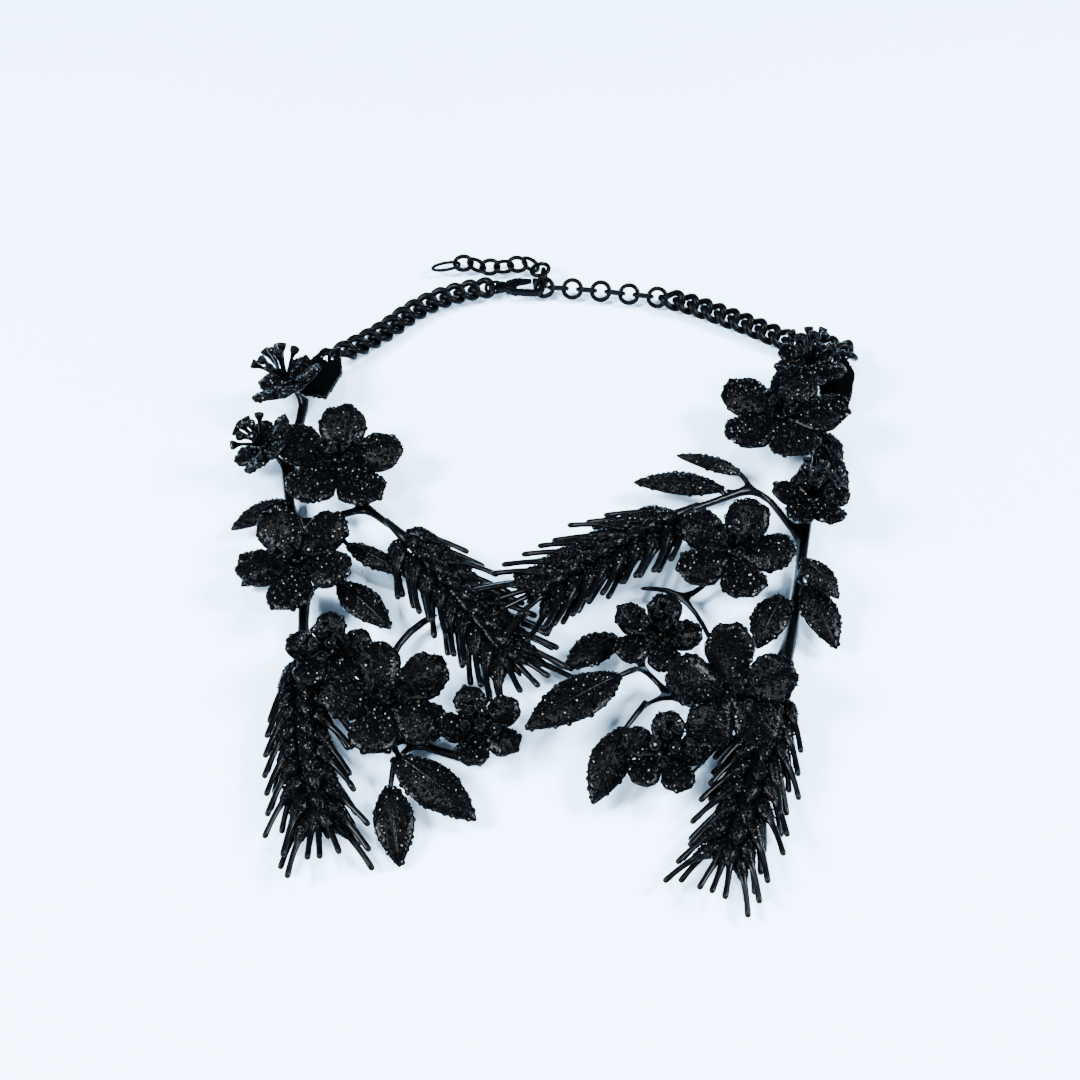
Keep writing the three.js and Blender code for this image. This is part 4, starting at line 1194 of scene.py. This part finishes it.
class NECKLACE_OT_ears(bpy.types.Operator):
    """Builds the ears of wheat: set pods with smooth awns"""

    bl_idname = "necklace.ears"
    bl_label = "Ears of Wheat"

    def execute(self, context):
        for row in rows(EAR_COLUMNS, EARS):
            make_ear(row, pave_set())
        return {"FINISHED"}


class NECKLACE_OT_leaves(bpy.types.Operator):
    """Builds the leaves with their midribs and veins"""

    bl_idname = "necklace.leaves"
    bl_label = "Leaves"

    def execute(self, context):
        for node in sorted(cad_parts):
            if node.startswith("leaf_"):
                make_leaf(node[len("leaf_"):], pave_set())
        return {"FINISHED"}


class NECKLACE_OT_stems(bpy.types.Operator):
    """Rounds and solders the forked stems and the centre link"""

    bl_idname = "necklace.stems"
    bl_label = "Stems"

    def execute(self, context):
        made = finishes()
        for side in ("left", "right"):
            make_stems(side, (made["smooth_metal"],))
        make_bevelled("centre_link", (made["smooth_metal"],), 0.5 * MM)
        return {"FINISHED"}


class NECKLACE_OT_plates(bpy.types.Operator):
    """Builds the end plates with their set rims"""

    bl_idname = "necklace.plates"
    bl_label = "End Plates"

    def execute(self, context):
        made = finishes()
        for side in ("left", "right"):
            make_plate(side, (made["plate_gloss"], made["faceted_stone"]))
        return {"FINISHED"}


class NECKLACE_OT_chain(bpy.types.Operator):
    """Builds the chain, the extender, the oval and the clasp"""

    bl_idname = "necklace.chain"
    bl_label = "Chain and Clasp"

    def execute(self, context):
        made = finishes()
        make_chain((made["chain_metal"],))
        make_bevelled("clasp_body", (made["chain_metal"],), 0.35 * MM)
        make_bevelled("clasp_lever", (made["chain_metal"],), 0.2 * MM, body="lever")
        return {"FINISHED"}


# Lights: name, place in metres, size, watts
LIGHTS = [
    ("left", (-0.9, -0.2, 0.85), 0.4, 112),
    ("right", (0.85, 0.05, 0.85), 0.4, 90),
    ("front", (0.1, -1.1, 0.7), 0.6, 40),
    ("top", (-0.15, 0.2, 1.4), 0.25, 28),
]
LAMP_COLOUR = (0.87, 0.945, 1)
SKY_COLOUR = (0.8, 0.9, 1, 1)
SKY_STRENGTH = 0.42
TABLE_SIZE = 16
# Camera: focal length and picture width in pixels, sensor in mm, degrees above the table, metres away
FOCUS = 1635.5
PICTURE_WIDTH = 1080
SENSOR = 36
CAMERA_RISE = 50
CAMERA_DISTANCE = 0.507


class NECKLACE_OT_stage(bpy.types.Operator):
    """Sets the pale table, the soft lights and the camera"""

    bl_idname = "necklace.stage"
    bl_label = "Stage"

    def execute(self, context):
        table = added(bpy.ops.mesh.primitive_plane_add, "table", size=TABLE_SIZE, location=(0, 0, 0))
        table.data.materials.append(finishes()["table_top"])
        world = bpy.data.worlds.new("studio")
        context.scene.world = world
        world.use_nodes = True
        sky = world.node_tree.nodes["Background"].inputs
        sky["Color"].default_value = SKY_COLOUR
        sky["Strength"].default_value = SKY_STRENGTH
        for name, spot, size, watts in LIGHTS:
            lamp = bpy.data.lights.new(name, "AREA")
            lamp.energy = watts
            lamp.size = size
            lamp.color = LAMP_COLOUR
            light = bpy.data.objects.new(name, lamp)
            context.scene.collection.objects.link(light)
            light.location = spot
            light.rotation_euler = (-Vector(spot)).to_track_quat("-Z", "Y").to_euler()
        lens = bpy.data.cameras.new("camera")
        lens.sensor_width = SENSOR
        lens.lens = SENSOR * FOCUS / PICTURE_WIDTH
        lens.clip_start = 0.01
        lens.clip_end = 20
        camera = bpy.data.objects.new("camera", lens)
        context.scene.collection.objects.link(camera)
        tilt = math.radians(CAMERA_RISE)
        camera.location = SHIFT * MM + Vector((0, -math.cos(tilt), math.sin(tilt))) * CAMERA_DISTANCE
        camera.rotation_euler = (math.pi / 2 - tilt, 0, 0)
        context.scene.camera = camera
        return {"FINISHED"}


BUILD_ORDER = (
    NECKLACE_OT_stones, NECKLACE_OT_petals, NECKLACE_OT_stamens, NECKLACE_OT_ears, NECKLACE_OT_leaves,
    NECKLACE_OT_stems, NECKLACE_OT_plates, NECKLACE_OT_chain, NECKLACE_OT_stage,
)


class NECKLACE_PT_panel(bpy.types.Panel):
    """Sizes, colours and steps of the necklace"""

    bl_label = "Necklace"
    bl_idname = "NECKLACE_PT_panel"
    bl_space_type = "VIEW_3D"
    bl_region_type = "UI"
    bl_category = "Necklace"

    def draw(self, context):
        layout = self.layout
        for group in (context.scene.necklace_sizes, context.scene.necklace_colours):
            for name in group.__annotations__:
                layout.prop(group, name)
        for operator in BUILD_ORDER:
            layout.operator(operator.bl_idname)


CLASSES = (NecklaceSizes, NecklaceColours, *BUILD_ORDER, NECKLACE_PT_panel)


def register():
    for item in CLASSES:
        bpy.utils.register_class(item)
    bpy.types.Scene.necklace_sizes = bpy.props.PointerProperty(type=NecklaceSizes)
    bpy.types.Scene.necklace_colours = bpy.props.PointerProperty(type=NecklaceColours)


def unregister():
    del bpy.types.Scene.necklace_colours
    del bpy.types.Scene.necklace_sizes
    for item in reversed(CLASSES):
        bpy.utils.unregister_class(item)


def main():
    register()
    bpy.ops.necklace.stones()
    bpy.ops.necklace.petals()
    bpy.ops.necklace.stamens()
    bpy.ops.necklace.ears()
    bpy.ops.necklace.leaves()
    bpy.ops.necklace.stems()
    bpy.ops.necklace.plates()
    bpy.ops.necklace.chain()
    bpy.ops.necklace.stage()


if __name__ == "__main__":
    main()
